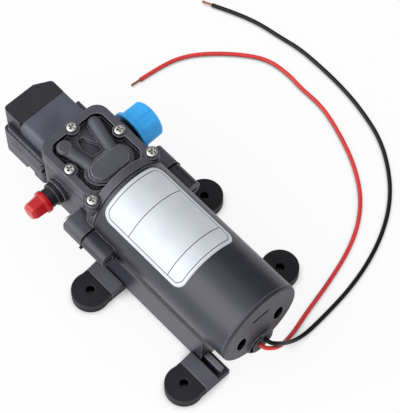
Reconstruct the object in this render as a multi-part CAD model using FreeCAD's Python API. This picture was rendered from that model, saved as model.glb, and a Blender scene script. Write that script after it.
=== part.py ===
"""Small 12 V diaphragm pump for caravan water: the pump head, its pressure switch, the motor in
its plastic housing, four sliding rubber feet, two capped ports and the two motor leads.

Millimetres. +X runs along the motor axis towards the leads, +Y towards the inlet, +Z up.
The origin lies on the ground, under the middle of the pump's length and width."""
import math
import os

import FreeCAD
import Part

V = FreeCAD.Vector
os.makedirs("parts", exist_ok=True)

# Overall layout
total_length = 172.2          # switch front to the end of the lead boss
switch_length = 33.0
head_length = 45.0            # crankcase, without the gasket behind it
gasket_t = 1.0
axis_z = 34.8                 # height of the motor axis above the ground
touch_gap = 0.3               # usual gap between pieces that move past each other
snug = 0.05                   # gap round a piece that is pushed into its seat
running = 0.03                # radial gap of a shaft in its bearing
boss_proud = 2.0              # lead boss ahead of the end cap's face
cap_flange_t = 1.8

front_x = -total_length / 2
head_front_x = front_x + switch_length
case_rear_x = head_front_x + head_length
seam_x = case_rear_x + gasket_t
cap_face_x = total_length / 2 - boss_proud
shell_rear_x = cap_face_x - cap_flange_t

# Motor housing, a plastic sleeve with a skirt below it
shell_r = 23.5
shell_wall = 2.3
skirt_join = 22.0             # degrees below the widest line, where the skirt leaves the sleeve
skirt_top_drop = 9.8          # ledge on top of the skirt, below the axis
skirt_top_out = 0.3           # how far the skirt stands out from the sleeve's sides
skirt_foot_out = 1.2
skirt_short = 13.0            # the round sleeve goes on behind the skirt
skirt_wall = 2.8
base_z = 4.5                  # underside of the housing
rail_w = 7.3                  # rail that the feet slide in
rail_top_z = 12.2

can_bore_r = shell_r - shell_wall
skirt_rear_x = shell_rear_x - skirt_short
skirt_top_z = axis_z - skirt_top_drop
skirt_top_y = shell_r + skirt_top_out
skirt_foot_y = shell_r + skirt_foot_out
rail_inner_y = skirt_foot_y - rail_w

# Ears that screw the housing to the crankcase
ear_out = 8.9                 # ear's outer edge beyond the sleeve's side
ear_root_in = 2.5
ear_drop = 5.4                # middle of the ears below the motor axis
ear_half_height = 4.8
ear_corner_r = 4.4
ear_case_half_height = 6.0    # the crankcase's ears are higher
ear_case_length = 12.6
ear_length = 14.6
ear_screw_out = 4.4
ear_screw_r = 2.0
ear_screw_depth = 10.6
ear_pocket_half_y = 2.4       # slot in the rear end of each housing ear
ear_pocket_h = 2.0
ear_pocket_depth = 2.6
ear_head_r = 3.6
ear_head_h = 2.2
gasket_tab_r = 1.1

ear_y = shell_r + ear_out
ear_root_y = shell_r - ear_root_in
ear_screw_y = shell_r + ear_screw_out
ear_z = axis_z - ear_drop

# Pump head, seen from above: a rounded block with five screws. Names that end in _in are
# distances behind its front face.
head_rear_in = 40.4
head_half_y = 20.3
head_corner_r = 7.0
head_edge_r = 1.2             # rounded upper edge of the cover
case_half_y = 19.8
case_drop = 0.3               # underside of the crankcase below the sleeve
deck_up = 8.0                 # top of the crankcase, under the diaphragm, above the axis
diaphragm_t = 0.8
valve_plate_t = 4.0
cover_floor_t = 1.2
rim_h = 3.2
flange_t = 4.4                # crankcase flange that meets the housing
screw_r = 1.5
screw_clear_r = 1.7
screw_boss_r = 3.7
screw_head_r = 2.75
screw_head_h = 1.5
screw_bite = 6.8              # depth of the head screws in the crankcase
head_screw_in = [(3.9, 0.0), (20.9, 16.1), (20.9, -16.1), (40.8, 19.2), (40.8, -19.2)]

head_rear_x = head_front_x + head_rear_in
head_screw_xy = [(head_front_x + x, y) for x, y in head_screw_in]
case_bottom_z = axis_z - shell_r - case_drop
deck_z = axis_z + deck_up
plate_z = deck_z + diaphragm_t
cover_z = plate_z + valve_plate_t
floor_z = cover_z + cover_floor_t
rim_z = floor_z + rim_h
screw_tip_z = deck_z - screw_bite

# Shapes moulded on the head cover
pocket_front_in = 4.4
pocket_rear_in = 39.3
pocket_half_y = 16.0
pocket_r = 5.0
dome_front_in = 25.4
dome_rear_in = 38.6
dome_half_y = 12.0
dome_rise = 0.9               # dome above the rim
dome_step = 1.3
dome_step_h = 1.1
dome_foot = 1.5               # wider foot round the front and the sides of the dome
dome_foot_drop = 1.0
dome_wall = 1.5
gallery_r = 2.0               # upright edges of the water galleries in the dome
stop_r = 1.8                  # stop under the dome for the inlet valve
stop_bore_up = 2.3
dome_split = 0.7              # half the wall between the suction and the delivery side
knob_in = 10.1
knob_y = -9.9
knob_r = 4.2
knob_rise = 1.6
knob_bevel = 1.0
duct_r = 3.7
duct_up = 0.9                 # middle of the ducts above the cover's floor
duct_bore_r = 1.6
delivery_duct_end_y = -6.1
suction_duct_from_in = (8.4, 10.5)
suction_duct_to_in = (26.6, 6.6)
well_in = [(9.2, -1.7), (9.6, 1.2), (13.9, 2.6), (17.4, 4.7), (21.6, 4.2), (21.2, -1.9),
           (15.4, -3.3)]
well_depth = 0.6              # recess of the well in the valve plate, under the cover's window

pocket_front_x = head_front_x + pocket_front_in
pocket_rear_x = head_front_x + pocket_rear_in
dome_x0 = head_front_x + dome_front_in
dome_x1 = head_front_x + dome_rear_in
dome_z = rim_z + dome_rise
dome_top_z = dome_z + dome_step_h
knob_x = head_front_x + knob_in
knob_z = rim_z + knob_rise
duct_z = floor_z + duct_up
suction_duct_from = (head_front_x + suction_duct_from_in[0], suction_duct_from_in[1])
suction_duct_to = (head_front_x + suction_duct_to_in[0], suction_duct_to_in[1])
well_xy = [(head_front_x + x, y) for x, y in well_in]

# Crank drive
crank_in = 24.6
throw = 1.2                   # offset of the eccentric, half the stroke
shaft_r = 2.5
shaft_nose_r = 2.0            # thinner front end of the shaft, in the eccentric
nose_ahead = 3.0              # shaft's front end ahead of the middle of the crank
step_behind = 7.0             # step of the shaft behind the middle of the crank
hub_r = 4.0
shoulder_r = 4.6              # eccentric behind the crank bearing
crank_bearing_r = 6.0
crank_bearing_w = 3.5
rod_gap = 0.3
rod_neck_r = 3.4
grub_r = 1.2
grub_behind = 4.5
piston_screw_r = 1.5
piston_screw_length = 3.3
piston_head_r = 2.6
strap_r = 7.9
strap_w = 6.0
disc_r = 7.6
disc_t = 1.0
plate_disc_t = 0.8
chamber_half_y = 10.5
chamber_drop = 11.8           # floor of the crank chamber below the axis
chamber_ahead = 8.0           # its front wall ahead of the middle of the crank
flex_r = 13.0
flex_depth = 4.3              # room for the diaphragm in the top of the crankcase
flex_recess = 2.5
weight_r = 6.2
weight_behind = 8.5
weight_w = 3.0
stack_gap = 0.1               # gap between the diaphragm and the discs that carry it

crank_x = head_front_x + crank_in
crank_nose_x = crank_x - nose_ahead
shaft_step_x = crank_x + step_behind
grub_x = crank_x + grub_behind
rod_top_z = axis_z - throw + strap_r
piston_top_z = rod_top_z + diaphragm_t + plate_disc_t + 2 * stack_gap
piston_screw_tip_z = piston_top_z - piston_screw_length
chamber_z0 = axis_z - chamber_drop
chamber_x0 = crank_x - chamber_ahead
flex_z0 = deck_z - flex_depth
weight_x0 = crank_x + weight_behind
weight_x1 = weight_x0 + weight_w

# Water ways
port_in = 15.9
port_drop = 3.8               # middle of the ports below the motor axis
way_in = 9.9
way_y = 13.0
way_r = 2.0
port_room_front = 8.0         # room inside each port, ahead of and behind the port's middle
port_room_rear = 3.3
port_room_y0 = 12.7
port_room_y1 = 17.2
port_room_half_z = 3.5
valve_y = 5.4
valve_r = 3.6
valve_t = 0.8
valve_lift = 0.6
valve_hole_r = 0.9
valve_hole_pcd_r = 2.1
seat_pin_r = 0.7
seat_foot_r = 0.4
seat_foot_inset = 0.1          # feet in from the plug's edge
seat_gap_z = 1.5               # height of the inlet seat above the valve plate
gallery_y = 10.4

port_x = head_front_x + port_in
port_z = axis_z - port_drop
way_x = head_front_x + way_in
port_room = (port_x - port_room_front, port_x + port_room_rear, port_room_y0, port_room_y1,
             port_z - port_room_half_z, port_z + port_room_half_z)
valve_x = (dome_x0 + dome_x1) / 2
inlet_valve_z = cover_z + seat_gap_z - snug - valve_t
outlet_valve_z = cover_z + 0.02
seat_r = valve_y - dome_split - snug

# Port fittings and their caps
boss_r = 8.6
boss_end_y = 22.6
outlet_boss_r = 6.9
spigot_seat_r = 5.0           # fitting shank in the crankcase
fitting_bore_r = 2.6
outlet_root_r = 5.2
outlet_tip_r = 4.2
outlet_step_y = 29.2
outlet_collar_r = 6.2
outlet_collar_w = 2.6
outlet_end_y = 36.0
inlet_r = 8.2
inlet_thread_depth = 0.55
inlet_thread_pitch = 1.6
inlet_end_y = 37.2
inlet_collar_r = 9.4
inlet_collar_w = 2.4
inlet_cup_r = 5.5
inlet_cup_y = 28.5
seal_wire_r = 0.75
seal_y = 20.0                 # middle of the seal groove in a fitting's shank
blue_r = 10.35
blue_flange_r = 11.8
blue_flange_w = 2.2
blue_start_y = 26.2
blue_end_y = 40.6
blue_edge = 2.2
blue_rib_r = 0.7
blue_rib_sink = 0.55
red_r = 5.3
red_tip_r = 4.6
red_flange_r = 6.1
red_flange_w = 2.4
red_start_y = 29.4
red_end_y = 40.2
red_facet = 3.6               # length of the faceted end
cap_wall = 1.9
cap_gap = 0.15                # gap of a cap over its spigot

# Pressure switch on the front of the head. Names that end in _back are distances behind the
# switch's front.
switch_h = 10.0               # covers above the base
switch_half_y = 14.2
switch_split_back = 12.9
switch_bevel_x = 4.6
switch_bevel_y = 5.5
switch_round = 3.4
switch_wall = 1.6
switch_lug_back = 20.5        # lug along the inlet side of the grey cover
switch_lug_w = 3.3
switch_lug_z0_up = 2.0
switch_lug_h = 4.2
front_cap_r = 2.4             # rounded upright edges of the front cap
base_top_drop = 2.8           # top of the base below the motor axis
base_plate_t = 1.8
base_plate_half_y = 16.6
base_front_back = 2.5
base_half_y = 18.0
base_corner_r = 2.5
base_step = 1.0               # top plate of the base behind its front face
ridge_r = 1.9
ridge_drop = 6.6
ridge_back = 9.6
ridge_sink = 0.65             # how far the ridges stand back into the base's sides
clip_back = 22.1              # notch for a clip under each side of the base
clip_half_x = 3.0
clip_depth = 1.2
clip_height = 3.5
sense_back = 18.1
sense_room_r = 8.0
sense_floor_t = 4.0
sense_room_h = 3.0
sheet_t = 0.8
sheet_r = 9.0
sense_bore_r = 1.0            # passage that brings the outlet pressure to the switch
sense_way_y = 7.5
sense_way_drop = 2.5          # below the middle of the ports
sense_drop_back = 26.6
sense_turn_in = 8.9
mount_screw_y = 15.0          # long screws along X that hold the switch to the crankcase
mount_screw_up = 9.5
mount_screw_r = 1.25
mount_screw_bite = 7.0
mount_head_r = 2.3
mount_head_h = 1.6
mount_head_sink = 2.0
switch_screw_back = [(7.6, 9.8), (7.6, -9.8), (25.1, 9.8), (25.1, -9.8)]
switch_screw_r = 1.4
switch_screw_bite = 5.0
switch_head_r = 2.6
switch_head_h = 1.6
switch_head_sink = 2.2
post_r = 2.5
front_cap_rise = 0.3          # the black front cap stands a little above the grey cover
front_cap_lip = 4.0
spring_room_r = 5.2
plunger_r = 1.8
plunger_head_r = 4.2
plunger_head_t = 1.4
plunger_travel = 0.8
plunger_up = 2.0
spring_wire_r = 0.3
spring_r = 3.4
micro_back = 20.6
micro_foot = 2.0
micro_length = 15.0
micro_width = 6.4
micro_up = 3.0
micro_h = 4.6

switch_split_x = front_x + switch_split_back
base_front_x = front_x + base_front_back
base_rear_x = head_front_x
base_bottom_z = case_bottom_z
base_top_z = axis_z - base_top_drop
switch_top_z = base_top_z + switch_h
ridge_x0 = front_x + ridge_back
ridge_z = base_top_z - ridge_drop
clip_x = front_x + clip_back
sense_x = front_x + sense_back
sense_z0 = base_bottom_z + sense_floor_t
sense_z1 = sense_z0 + sense_room_h
sense_way_z = port_z - sense_way_drop
sense_drop_x = front_x + sense_drop_back
sense_turn_x = head_front_x + sense_turn_in
mount_screw_z = base_bottom_z + mount_screw_up
switch_screw_xy = [(front_x + x, y) for x, y in switch_screw_back]
plunger_top_z = base_top_z + plunger_up
micro_x = front_x + micro_back
micro_z0 = base_top_z + micro_up
micro_z1 = micro_z0 + micro_h

# Motor inside the housing, laid out from its two ends
rear_room = 23.7              # free room behind the can
can_gap = 0.2
can_wall = 1.6
front_boss_r = 8.75
front_boss_length = 4.6
magnet_t = 4.6
magnet_past = 4.0             # magnets past each end of the core
magnet_half_angle = 62.0
air_gap = 0.8
core_room = 19.1              # front end of the armature stack behind the seam
slot_count = 5
slot_root_r = 6.6
slot_neck = 2.2
slot_half_width = 2.9
pole_tip = 1.4
winding_proud = 5.5
commutator_r = 5.5
commutator_gap = 2.0
commutator_length = 11.0
fan_short = 0.2               # fan smaller than the core, in radius
fan_room = 9.6
fan_w = 3.5
blade_count = 9
bearing_r = 6.5
bearing_w = 5.0
end_bell_t = 2.4
bush_r = 4.5
rear_boss_r = 6.0
rear_boss_length = 3.4
brush_from_rear = 7.6         # middle of the brushes ahead of the can's rear end
brush_along = 7.0             # the same, behind the commutator's front end
brush_w = 4.0
brush_h = 5.0
brush_length = 6.5
brush_card_t = 1.5
brush_tube_wall = 0.8
brush_tube_in = 3.8
brush_spring_r = 1.4
tab_w = 4.8
tab_t = 0.8
tab_y = 10.0
tab_length = 7.0

can_r = can_bore_r - can_gap
can_rear_x = shell_rear_x - rear_room
core_r = can_r - can_wall - magnet_t - air_gap
core_x = seam_x + core_room
brush_x = can_rear_x - brush_from_rear
commutator_x = brush_x - brush_along
core_rear_x = commutator_x - commutator_gap
magnet_x = core_x - magnet_past
magnet_rear_x = core_rear_x + magnet_past
winding_r = core_r - pole_tip
fan_r = core_r - fan_short
fan_x = seam_x + fan_room
brush_tube_end = can_r - brush_tube_in

# Wires between the grommet, the pressure switch and the motor
wire_r = 0.6
wire_up = 1.2                 # wires above the lowest line of the sleeve
wire_pitch = 1.6
wire_drop_in = -3.4
wire_bend = 2.2               # bend radius of the thin wires
wire_rise_behind = 7.8        # wires rise behind the can's rear end
wire_slot_before = 4.4        # slot in the sleeve's lower wall, round the rising wires
wire_slot_after = 1.3
wire_slot_up = 8.7
wire_slot_edge = 2.6
sheath_in = 3.1               # inner end of the leads' thick sheath ahead of the sleeve's end

wire_y = tab_y + tab_t / 2 + wire_r
slot_y = wire_y - wire_pitch
wire_z = axis_z - shell_r + wire_up
wire_drop_x = head_front_x + wire_drop_in
wire_rise_x = can_rear_x + wire_rise_behind
wire_slot_x0 = wire_rise_x - wire_slot_before
wire_slot_x1 = wire_rise_x + wire_slot_after
wire_slot_z1 = axis_z - shell_r + wire_slot_up
sheath_end_x = shell_rear_x - sheath_in

# End cap
cap_in = 0.1                  # cap's rim inside the sleeve's
cap_spigot = 3.2
cap_spigot_wall = 1.6
cap_edge_r = 1.3
vent_y = 12.0
vent_drop = 4.2
vent_half_w = 3.1
vent_half_h = 5.4
slot_up = 9.8
slot_half_y = 5.6
slot_half_z = 1.0
lead_boss_up = 6.5            # middle of the lead boss above the sleeve's lowest line
lead_boss_r = 8.7
lead_boss_tip_r = 6.9
groove_r0 = 5.9               # curved groove on the outlet side of the lead boss
groove_r1 = 7.6
groove_depth = 2.6
grommet_r = 4.8
grommet_neck_r = 4.0
grommet_lip_r = 5.6
grommet_lip_t = 1.0

cap_r = shell_r - cap_in
vent_z = axis_z - vent_drop
slot_z = axis_z + slot_up
lead_boss_z = axis_z - shell_r + lead_boss_up

# Feet
foot_hole_out = 13.8          # screw hole beyond the skirt's foot
foot_front_behind = 11.4      # front feet behind the seam
foot_rear_left_ahead = 9.9    # rear feet ahead of the sleeve's end
foot_rear_right_ahead = 22.9
foot_lobe_r = 9.7
foot_t = 6.0
foot_hole_r = 2.25
foot_block_half_x = 9.3
foot_block_out = 7.5
foot_block_top_z = 7.6
foot_tongue_in = 0.2
foot_key_half_x = 8.0
key_in = 3.8
key_neck_half = 0.9
key_neck_top_z = 7.4
key_head_half = 1.5
key_head_t = 2.0

foot_hole_y = skirt_foot_y + foot_hole_out
foot_front_x = seam_x + foot_front_behind
foot_rear_left_x = shell_rear_x - foot_rear_left_ahead
foot_rear_right_x = shell_rear_x - foot_rear_right_ahead
foot_block_y = skirt_foot_y + foot_block_out
foot_tongue_y = rail_inner_y - foot_tongue_in
foot_tongue_t = base_z - touch_gap
key_neck_y = rail_inner_y + key_in

# Label
label_t = 0.15
label_front_behind = 1.9
label_rear_ahead = 32.1
label_left = 58.0             # degrees round the sleeve from the top, towards the outlet
label_right = 44.0
label_corner = 6.0

label_x0 = seam_x + label_front_behind
label_x1 = shell_rear_x - label_rear_ahead

# Leads
lead_r = 1.2
lead_side = 1.9               # half the distance between the leads in the grommet
lead_exit_up = 1.2
bare_r = 0.8
bare_length = 6.0

lead_exit_z = lead_boss_z + lead_exit_up


def box(x0, x1, y0, y1, z0, z1):
    """Block between two corners, given in any order."""
    lo = V(min(x0, x1), min(y0, y1), min(z0, z1))
    return Part.makeBox(abs(x1 - x0), abs(y1 - y0), abs(z1 - z0), lo)


def rod_x(x0, x1, r, y=0.0, z=axis_z):
    """Round bar along X."""
    return Part.makeCylinder(r, abs(x1 - x0), V(min(x0, x1), y, z), V(1, 0, 0))


def rod_y(y0, y1, r, x, z):
    """Round bar along Y."""
    return Part.makeCylinder(r, abs(y1 - y0), V(x, min(y0, y1), z), V(0, 1, 0))


def rod_z(z0, z1, r, x, y):
    """Round bar along Z."""
    return Part.makeCylinder(r, abs(z1 - z0), V(x, y, min(z0, z1)), V(0, 0, 1))


def outline(points, direction):
    """Straight-sided block: a closed outline of 3-D points, pushed along a direction."""
    wire = Part.makePolygon([V(*p) for p in points] + [V(*points[0])])
    return Part.Face(wire).extrude(V(*direction))


def rounded_block(x0, x1, y0, y1, z0, z1, r):
    """Upright block whose four vertical edges are rounded with radius r."""
    k = r * (1 - math.sqrt(0.5))
    corners = [
        ((x1 - r, y0, z0), (x1 - k, y0 + k, z0), (x1, y0 + r, z0)),
        ((x1, y1 - r, z0), (x1 - k, y1 - k, z0), (x1 - r, y1, z0)),
        ((x0 + r, y1, z0), (x0 + k, y1 - k, z0), (x0, y1 - r, z0)),
        ((x0, y0 + r, z0), (x0 + k, y0 + k, z0), (x0 + r, y0, z0)),
    ]
    edges = []
    for i, (a, b, c) in enumerate(corners):
        edges.append(Part.Arc(V(*a), V(*b), V(*c)).toShape())
        following = V(*corners[(i + 1) % 4][0])
        if V(*c).distanceToPoint(following) > 1e-6:
            edges.append(Part.makeLine(V(*c), following))
    return Part.Face(Part.Wire(edges)).extrude(V(0, 0, z1 - z0))


def turned_x(profile, y=0.0, z=axis_z):
    """Solid turned about an axis along X, from a closed outline of (x, radius) pairs."""
    wire = Part.makePolygon([V(x, y, z + r) for x, r in profile + profile[:1]])
    return Part.Face(wire).revolve(V(0, y, z), V(1, 0, 0), 360)


def turned_y(profile, x, z):
    """Solid turned about an axis along Y, from a closed outline of (y, radius) pairs."""
    wire = Part.makePolygon([V(x, y, z + r) for y, r in profile + profile[:1]])
    return Part.Face(wire).revolve(V(x, 0, z), V(0, 1, 0), 360)


def turned_z(profile, x, y):
    """Solid turned about an upright axis, from a closed outline of (radius, z) pairs."""
    wire = Part.makePolygon([V(x + r, y, z) for r, z in profile + profile[:1]])
    return Part.Face(wire).revolve(V(x, y, 0), V(0, 0, 1), 360)


def joined(first, *others):
    """One solid from pieces that run into each other."""
    return first.fuse(list(others)).removeSplitter()


def mirrored_y(shape):
    """The same piece on the other side of the pump."""
    return shape.mirror(V(0, 0, 0), V(0, 1, 0))


def save(name, *solids):
    """Writes one node; a group holds several separate solids."""
    shape = solids[0] if len(solids) == 1 else Part.makeCompound(list(solids))
    shape.exportStep("parts/" + name + ".step")
    print(f"{name}: {len(shape.Solids)} solid(s), {shape.Volume:.1f} mm3, valid {shape.isValid()}")


def sleeve_face(x, bottom_z):
    """Cross-section of the motor sleeve and its skirt at x, seen along the motor axis."""
    join = math.radians(skirt_join)
    join_y, join_z = shell_r * math.cos(join), axis_z - shell_r * math.sin(join)
    top = Part.Arc(V(x, -join_y, join_z), V(x, 0, axis_z + shell_r), V(x, join_y, join_z))
    side = [(join_y, join_z), (skirt_top_y, skirt_top_z), (skirt_foot_y, bottom_z)]
    right = [V(x, y, z) for y, z in side]
    left = [V(x, -y, z) for y, z in reversed(side)]
    return Part.Face(Part.Wire([top.toShape()] + Part.makePolygon(right + left).Edges))


def sleeve_block(x0, x1, bottom_z):
    """The sleeve's cross-section pushed from x0 to x1."""
    return sleeve_face(x0, bottom_z).extrude(V(x1 - x0, 0, 0))


def ear_block(x0, x1, half_height):
    """One ear on the inlet side, with its outer edges rounded."""
    inner_y = ear_y - ear_corner_r
    flat = half_height - ear_corner_r
    return joined(
        box(x0, x1, ear_root_y, inner_y, ear_z - half_height, ear_z + half_height),
        box(x0, x1, inner_y, ear_y, ear_z - flat, ear_z + flat),
        rod_x(x0, x1, ear_corner_r, inner_y, ear_z - flat),
        rod_x(x0, x1, ear_corner_r, inner_y, ear_z + flat),
    )


def head_block(z0, z1):
    """The head's outline as seen from above, between two heights."""
    block = rounded_block(head_front_x, head_rear_x, -head_half_y, head_half_y, z0, z1,
                          head_corner_r)
    bosses = [rod_z(z0, z1, screw_boss_r, x, y) for x, y in head_screw_xy if x > head_rear_x]
    return joined(block, *bosses)


def head_screw_holes(z0, z1, r):
    """The five upright holes that the head screws pass through."""
    return [rod_z(z0, z1, r, x, y) for x, y in head_screw_xy]


def foot_slot(side):
    """Slot under one side of the housing that holds the keys of the feet."""
    y = key_neck_y * side
    neck = key_neck_half + touch_gap
    head = key_head_half + touch_gap
    x0 = seam_x + skirt_wall / 2
    top = key_neck_top_z + key_head_t + 2 * touch_gap
    return [
        box(x0, skirt_rear_x + 1, y - neck, y + neck, base_z - 1, key_neck_top_z + touch_gap),
        box(x0, skirt_rear_x + 1, y - head, y + head, key_neck_top_z, top),
    ]


def motor_housing():
    """Sleeve round the motor, a shorter hollow skirt, rails for the feet and two ears."""
    outer = sleeve_block(seam_x, skirt_rear_x, base_z)
    wall_x = skirt_wall / 2
    hollow = box(seam_x + wall_x, skirt_rear_x - wall_x, skirt_foot_y - skirt_wall,
                 skirt_wall - skirt_foot_y, base_z - 1, skirt_top_z - skirt_wall)
    sleeve = rod_x(seam_x, shell_rear_x, shell_r)
    rails = [box(seam_x, skirt_rear_x, rail_inner_y * s, (skirt_foot_y - skirt_wall / 2) * s,
                 base_z, rail_top_z) for s in (1, -1)]
    ear_rear_x = seam_x + ear_length
    ear = ear_block(seam_x, ear_rear_x, ear_half_height)
    ear = ear.cut([
        box(ear_rear_x - ear_pocket_depth, ear_rear_x + 1, ear_screw_y - ear_pocket_half_y,
            ear_screw_y + ear_pocket_half_y, ear_z - ear_pocket_h, ear_z),
        rod_x(seam_x - 1, seam_x + ear_screw_depth, ear_screw_r + snug, ear_screw_y, ear_z),
    ])
    body = outer.cut(hollow.cut(sleeve)).fuse([sleeve, ear, mirrored_y(ear)] + rails)
    body = body.cut([rod_x(seam_x - 1, shell_rear_x + 1, can_bore_r)])
    cuts = foot_slot(1) + foot_slot(-1)
    cuts += [rod_x(seam_x - 1, seam_x + skirt_wall, wire_r + snug, y, wire_z)
             for y in (wire_y, slot_y)]
    cuts.append(box(wire_slot_x0, wire_slot_x1, slot_y - wire_slot_edge,
                    wire_y + wire_slot_edge, wire_z + wire_r, wire_slot_z1))
    return body.cut(cuts).removeSplitter()


def housing_gasket():
    """Thin ring seal between the crankcase and the housing, with a tab over each ear."""
    ring = sleeve_block(case_rear_x, seam_x, base_z + skirt_wall)
    inner = rod_x(case_rear_x - 1, seam_x + 1, can_r + snug)
    below = box(case_rear_x - 1, seam_x + 1, -skirt_foot_y, skirt_foot_y, 0,
                wire_z + 2 * wire_r)
    ear = ear_block(case_rear_x, seam_x, ear_half_height)
    ear = ear.cut(rod_x(case_rear_x - 1, seam_x + 1, ear_screw_r + snug, ear_screw_y, ear_z))
    tabs = [rod_x(case_rear_x, seam_x, gasket_tab_r, y, ear_z + rise)
            for y, rise in ((ear_y - gasket_tab_r / 2, gasket_tab_r), (-ear_y, -2 * gasket_tab_r))]
    return ring.cut([inner, below]).fuse([ear, mirrored_y(ear)] + tabs).removeSplitter()


def crankcase():
    """Block that carries the motor flange, the crank chamber, the ports and the diaphragm."""
    block = rounded_block(head_front_x, case_rear_x, -case_half_y, case_half_y, case_bottom_z,
                          deck_z, head_corner_r)
    flange = sleeve_block(case_rear_x - flange_t, case_rear_x, case_bottom_z)
    rear_bosses = [rod_z(screw_tip_z - 2, deck_z, screw_boss_r, x, y)
                   for x, y in head_screw_xy if x > head_rear_x]
    ear = ear_block(case_rear_x - ear_case_length, case_rear_x, ear_case_half_height)
    ear = ear.fuse(box(case_rear_x - ear_case_length, case_rear_x, case_half_y - 2,
                       ear_root_y + 1, ear_z - ear_case_half_height,
                       ear_z + ear_case_half_height))
    ear = ear.cut(rod_x(case_rear_x - ear_case_length - 1, case_rear_x + 1, ear_screw_r + snug,
                        ear_screw_y, ear_z))
    inlet_boss = rod_y(case_half_y - 3, boss_end_y, boss_r, port_x, port_z)
    outlet_boss = rod_y(3 - case_half_y, -boss_end_y, outlet_boss_r, port_x, port_z)
    body = block.fuse([flange, ear, mirrored_y(ear), inlet_boss, outlet_boss] + rear_bosses)
    chamber_x1 = case_rear_x - front_boss_length - touch_gap
    cuts = [
        box(chamber_x0, chamber_x1 + 0.1, -chamber_half_y, chamber_half_y, chamber_z0,
            flex_z0 + 0.1),
        rod_z(flex_z0, deck_z + 1, flex_r, crank_x, 0),
        rod_x(chamber_x1, case_rear_x + 1, front_boss_r + snug),
    ]
    cuts += head_screw_holes(screw_tip_z, deck_z + 1, screw_r + snug)
    cuts += [rod_z(deck_z, axis_z + shell_r + 1, screw_boss_r + touch_gap, x, y)
             for x, y in head_screw_xy if x > head_rear_x]
    x0, x1, y0, y1, z0, z1 = port_room
    for s in (1, -1):
        cuts.append(box(x0, x1, y0 * s, y1 * s, z0, z1))
        cuts.append(rod_z(z1 - 1, deck_z + 1, way_r, way_x, way_y * s))
        cuts.append(rod_y((y1 - 0.3) * s, (boss_end_y + 1) * s, spigot_seat_r + snug, port_x,
                          port_z))
    cuts.append(rod_x(head_front_x - 1, sense_turn_x, sense_bore_r, -sense_way_y, sense_way_z))
    cuts.append(rod_y(-sense_way_y, -(y0 + 1), sense_bore_r, sense_turn_x, sense_way_z))
    cuts += [rod_x(head_front_x - 1, head_front_x + mount_screw_bite, mount_screw_r + snug,
                   mount_screw_y * s, mount_screw_z) for s in (1, -1)]
    cuts += [rod_x(head_front_x - 1, case_rear_x + 1, wire_r + snug, y, wire_z)
             for y in (wire_y, slot_y)]
    return body.cut(cuts).removeSplitter()


def diaphragm():
    """Rubber sheet over the whole deck, pressed in round the crank as at the bottom of the
    stroke, with holes for the screws and the two water ways."""
    low = rod_top_z + stack_gap
    dish = turned_z([
        (piston_screw_r + snug, low), (disc_r + 0.8, low), (flex_r - 1.0, deck_z), (flex_r, deck_z),
        (flex_r, plate_z), (flex_r - 1.2, plate_z), (disc_r + 0.6, low + diaphragm_t),
        (piston_screw_r + snug, low + diaphragm_t),
    ], crank_x, 0)
    sheet = head_block(deck_z, plate_z).cut(rod_z(deck_z - 1, plate_z + 1, flex_r - 0.5,
                                                  crank_x, 0))
    holes = head_screw_holes(deck_z - 1, plate_z + 1, screw_clear_r)
    holes += [rod_z(deck_z - 1, plate_z + 1, way_r, way_x, way_y * s) for s in (1, -1)]
    return sheet.fuse(dish).cut(holes).removeSplitter()


def ring_of_holes(count, pitch_r, r, x, y, z0, z1):
    """Small upright holes evenly spaced on a circle."""
    step = 2 * math.pi / count
    return [rod_z(z0, z1, r, x + pitch_r * math.cos(i * step), y + pitch_r * math.sin(i * step))
            for i in range(count)]


def valve_plate():
    """Plate over the diaphragm with the pump chamber below and the valve holes above."""
    recess_z = plate_z + flex_recess
    cuts = [rod_z(plate_z - 1, recess_z, flex_r, crank_x, 0),
            outline([(x, y, cover_z - well_depth) for x, y in well_xy], (0, 0, 2))]
    cuts += head_screw_holes(plate_z - 1, cover_z + 1, screw_clear_r)
    cuts += ring_of_holes(6, valve_hole_pcd_r, valve_hole_r, valve_x, -valve_y, recess_z - 1,
                          cover_z + 1)
    cuts += ring_of_holes(6, valve_r, valve_hole_r, valve_x, valve_y, recess_z - 1,
                          cover_z + 1)
    for s in (1, -1):
        cuts.append(rod_z(plate_z - 1, cover_z + 1, way_r, way_x, way_y * s))
        cuts.append(rod_z(cover_z - valve_plate_t / 2, cover_z + 1, way_r, knob_x, knob_y * s))
        cuts.append(box(knob_x - way_r, knob_x + way_r, knob_y * s, -way_y * s,
                        cover_z - valve_plate_t / 2, cover_z + 1))
    studs = [rod_z(cover_z - 1, cover_z + seat_gap_z + 1.0, seat_pin_r, valve_x, valve_y),
             rod_z(cover_z - 1, cover_z + 2.0, seat_pin_r, valve_x, -valve_y)]
    return head_block(plate_z, cover_z).cut(cuts).fuse(studs).removeSplitter()


def valve_disc(y, z0):
    """Small rubber disc that slides on the stud of the valve plate."""
    return rod_z(z0, z0 + valve_t, valve_r, valve_x, y).cut(
        rod_z(z0 - 1, z0 + 2, seat_pin_r + snug, valve_x, y))


def inlet_valve_seat():
    """Perforated plug above the inlet disc, pushed into the suction side of the dome."""
    z0 = cover_z + seat_gap_z
    plug = rod_z(z0, z0 + 1.2, seat_r, valve_x, valve_y)
    holes = ring_of_holes(6, valve_hole_pcd_r, valve_hole_r, valve_x, valve_y, z0 - 1, z0 + 2)
    foot_x = seat_r - seat_foot_r - seat_foot_inset
    feet = [rod_z(cover_z, z0 + 0.1, seat_foot_r, valve_x + foot_x * s, valve_y) for s in (1, -1)]
    return plug.cut(holes + [rod_z(z0 - 1, z0 + 2, seat_pin_r + snug, valve_x, valve_y)]).fuse(
        feet).removeSplitter()


def duct(start, end, r):
    """Round bar at the height of the ducts between two points seen from above."""
    run = V(end[0] - start[0], end[1] - start[1], 0)
    return Part.makeCylinder(r, run.Length, V(start[0], start[1], duct_z), run)


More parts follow.
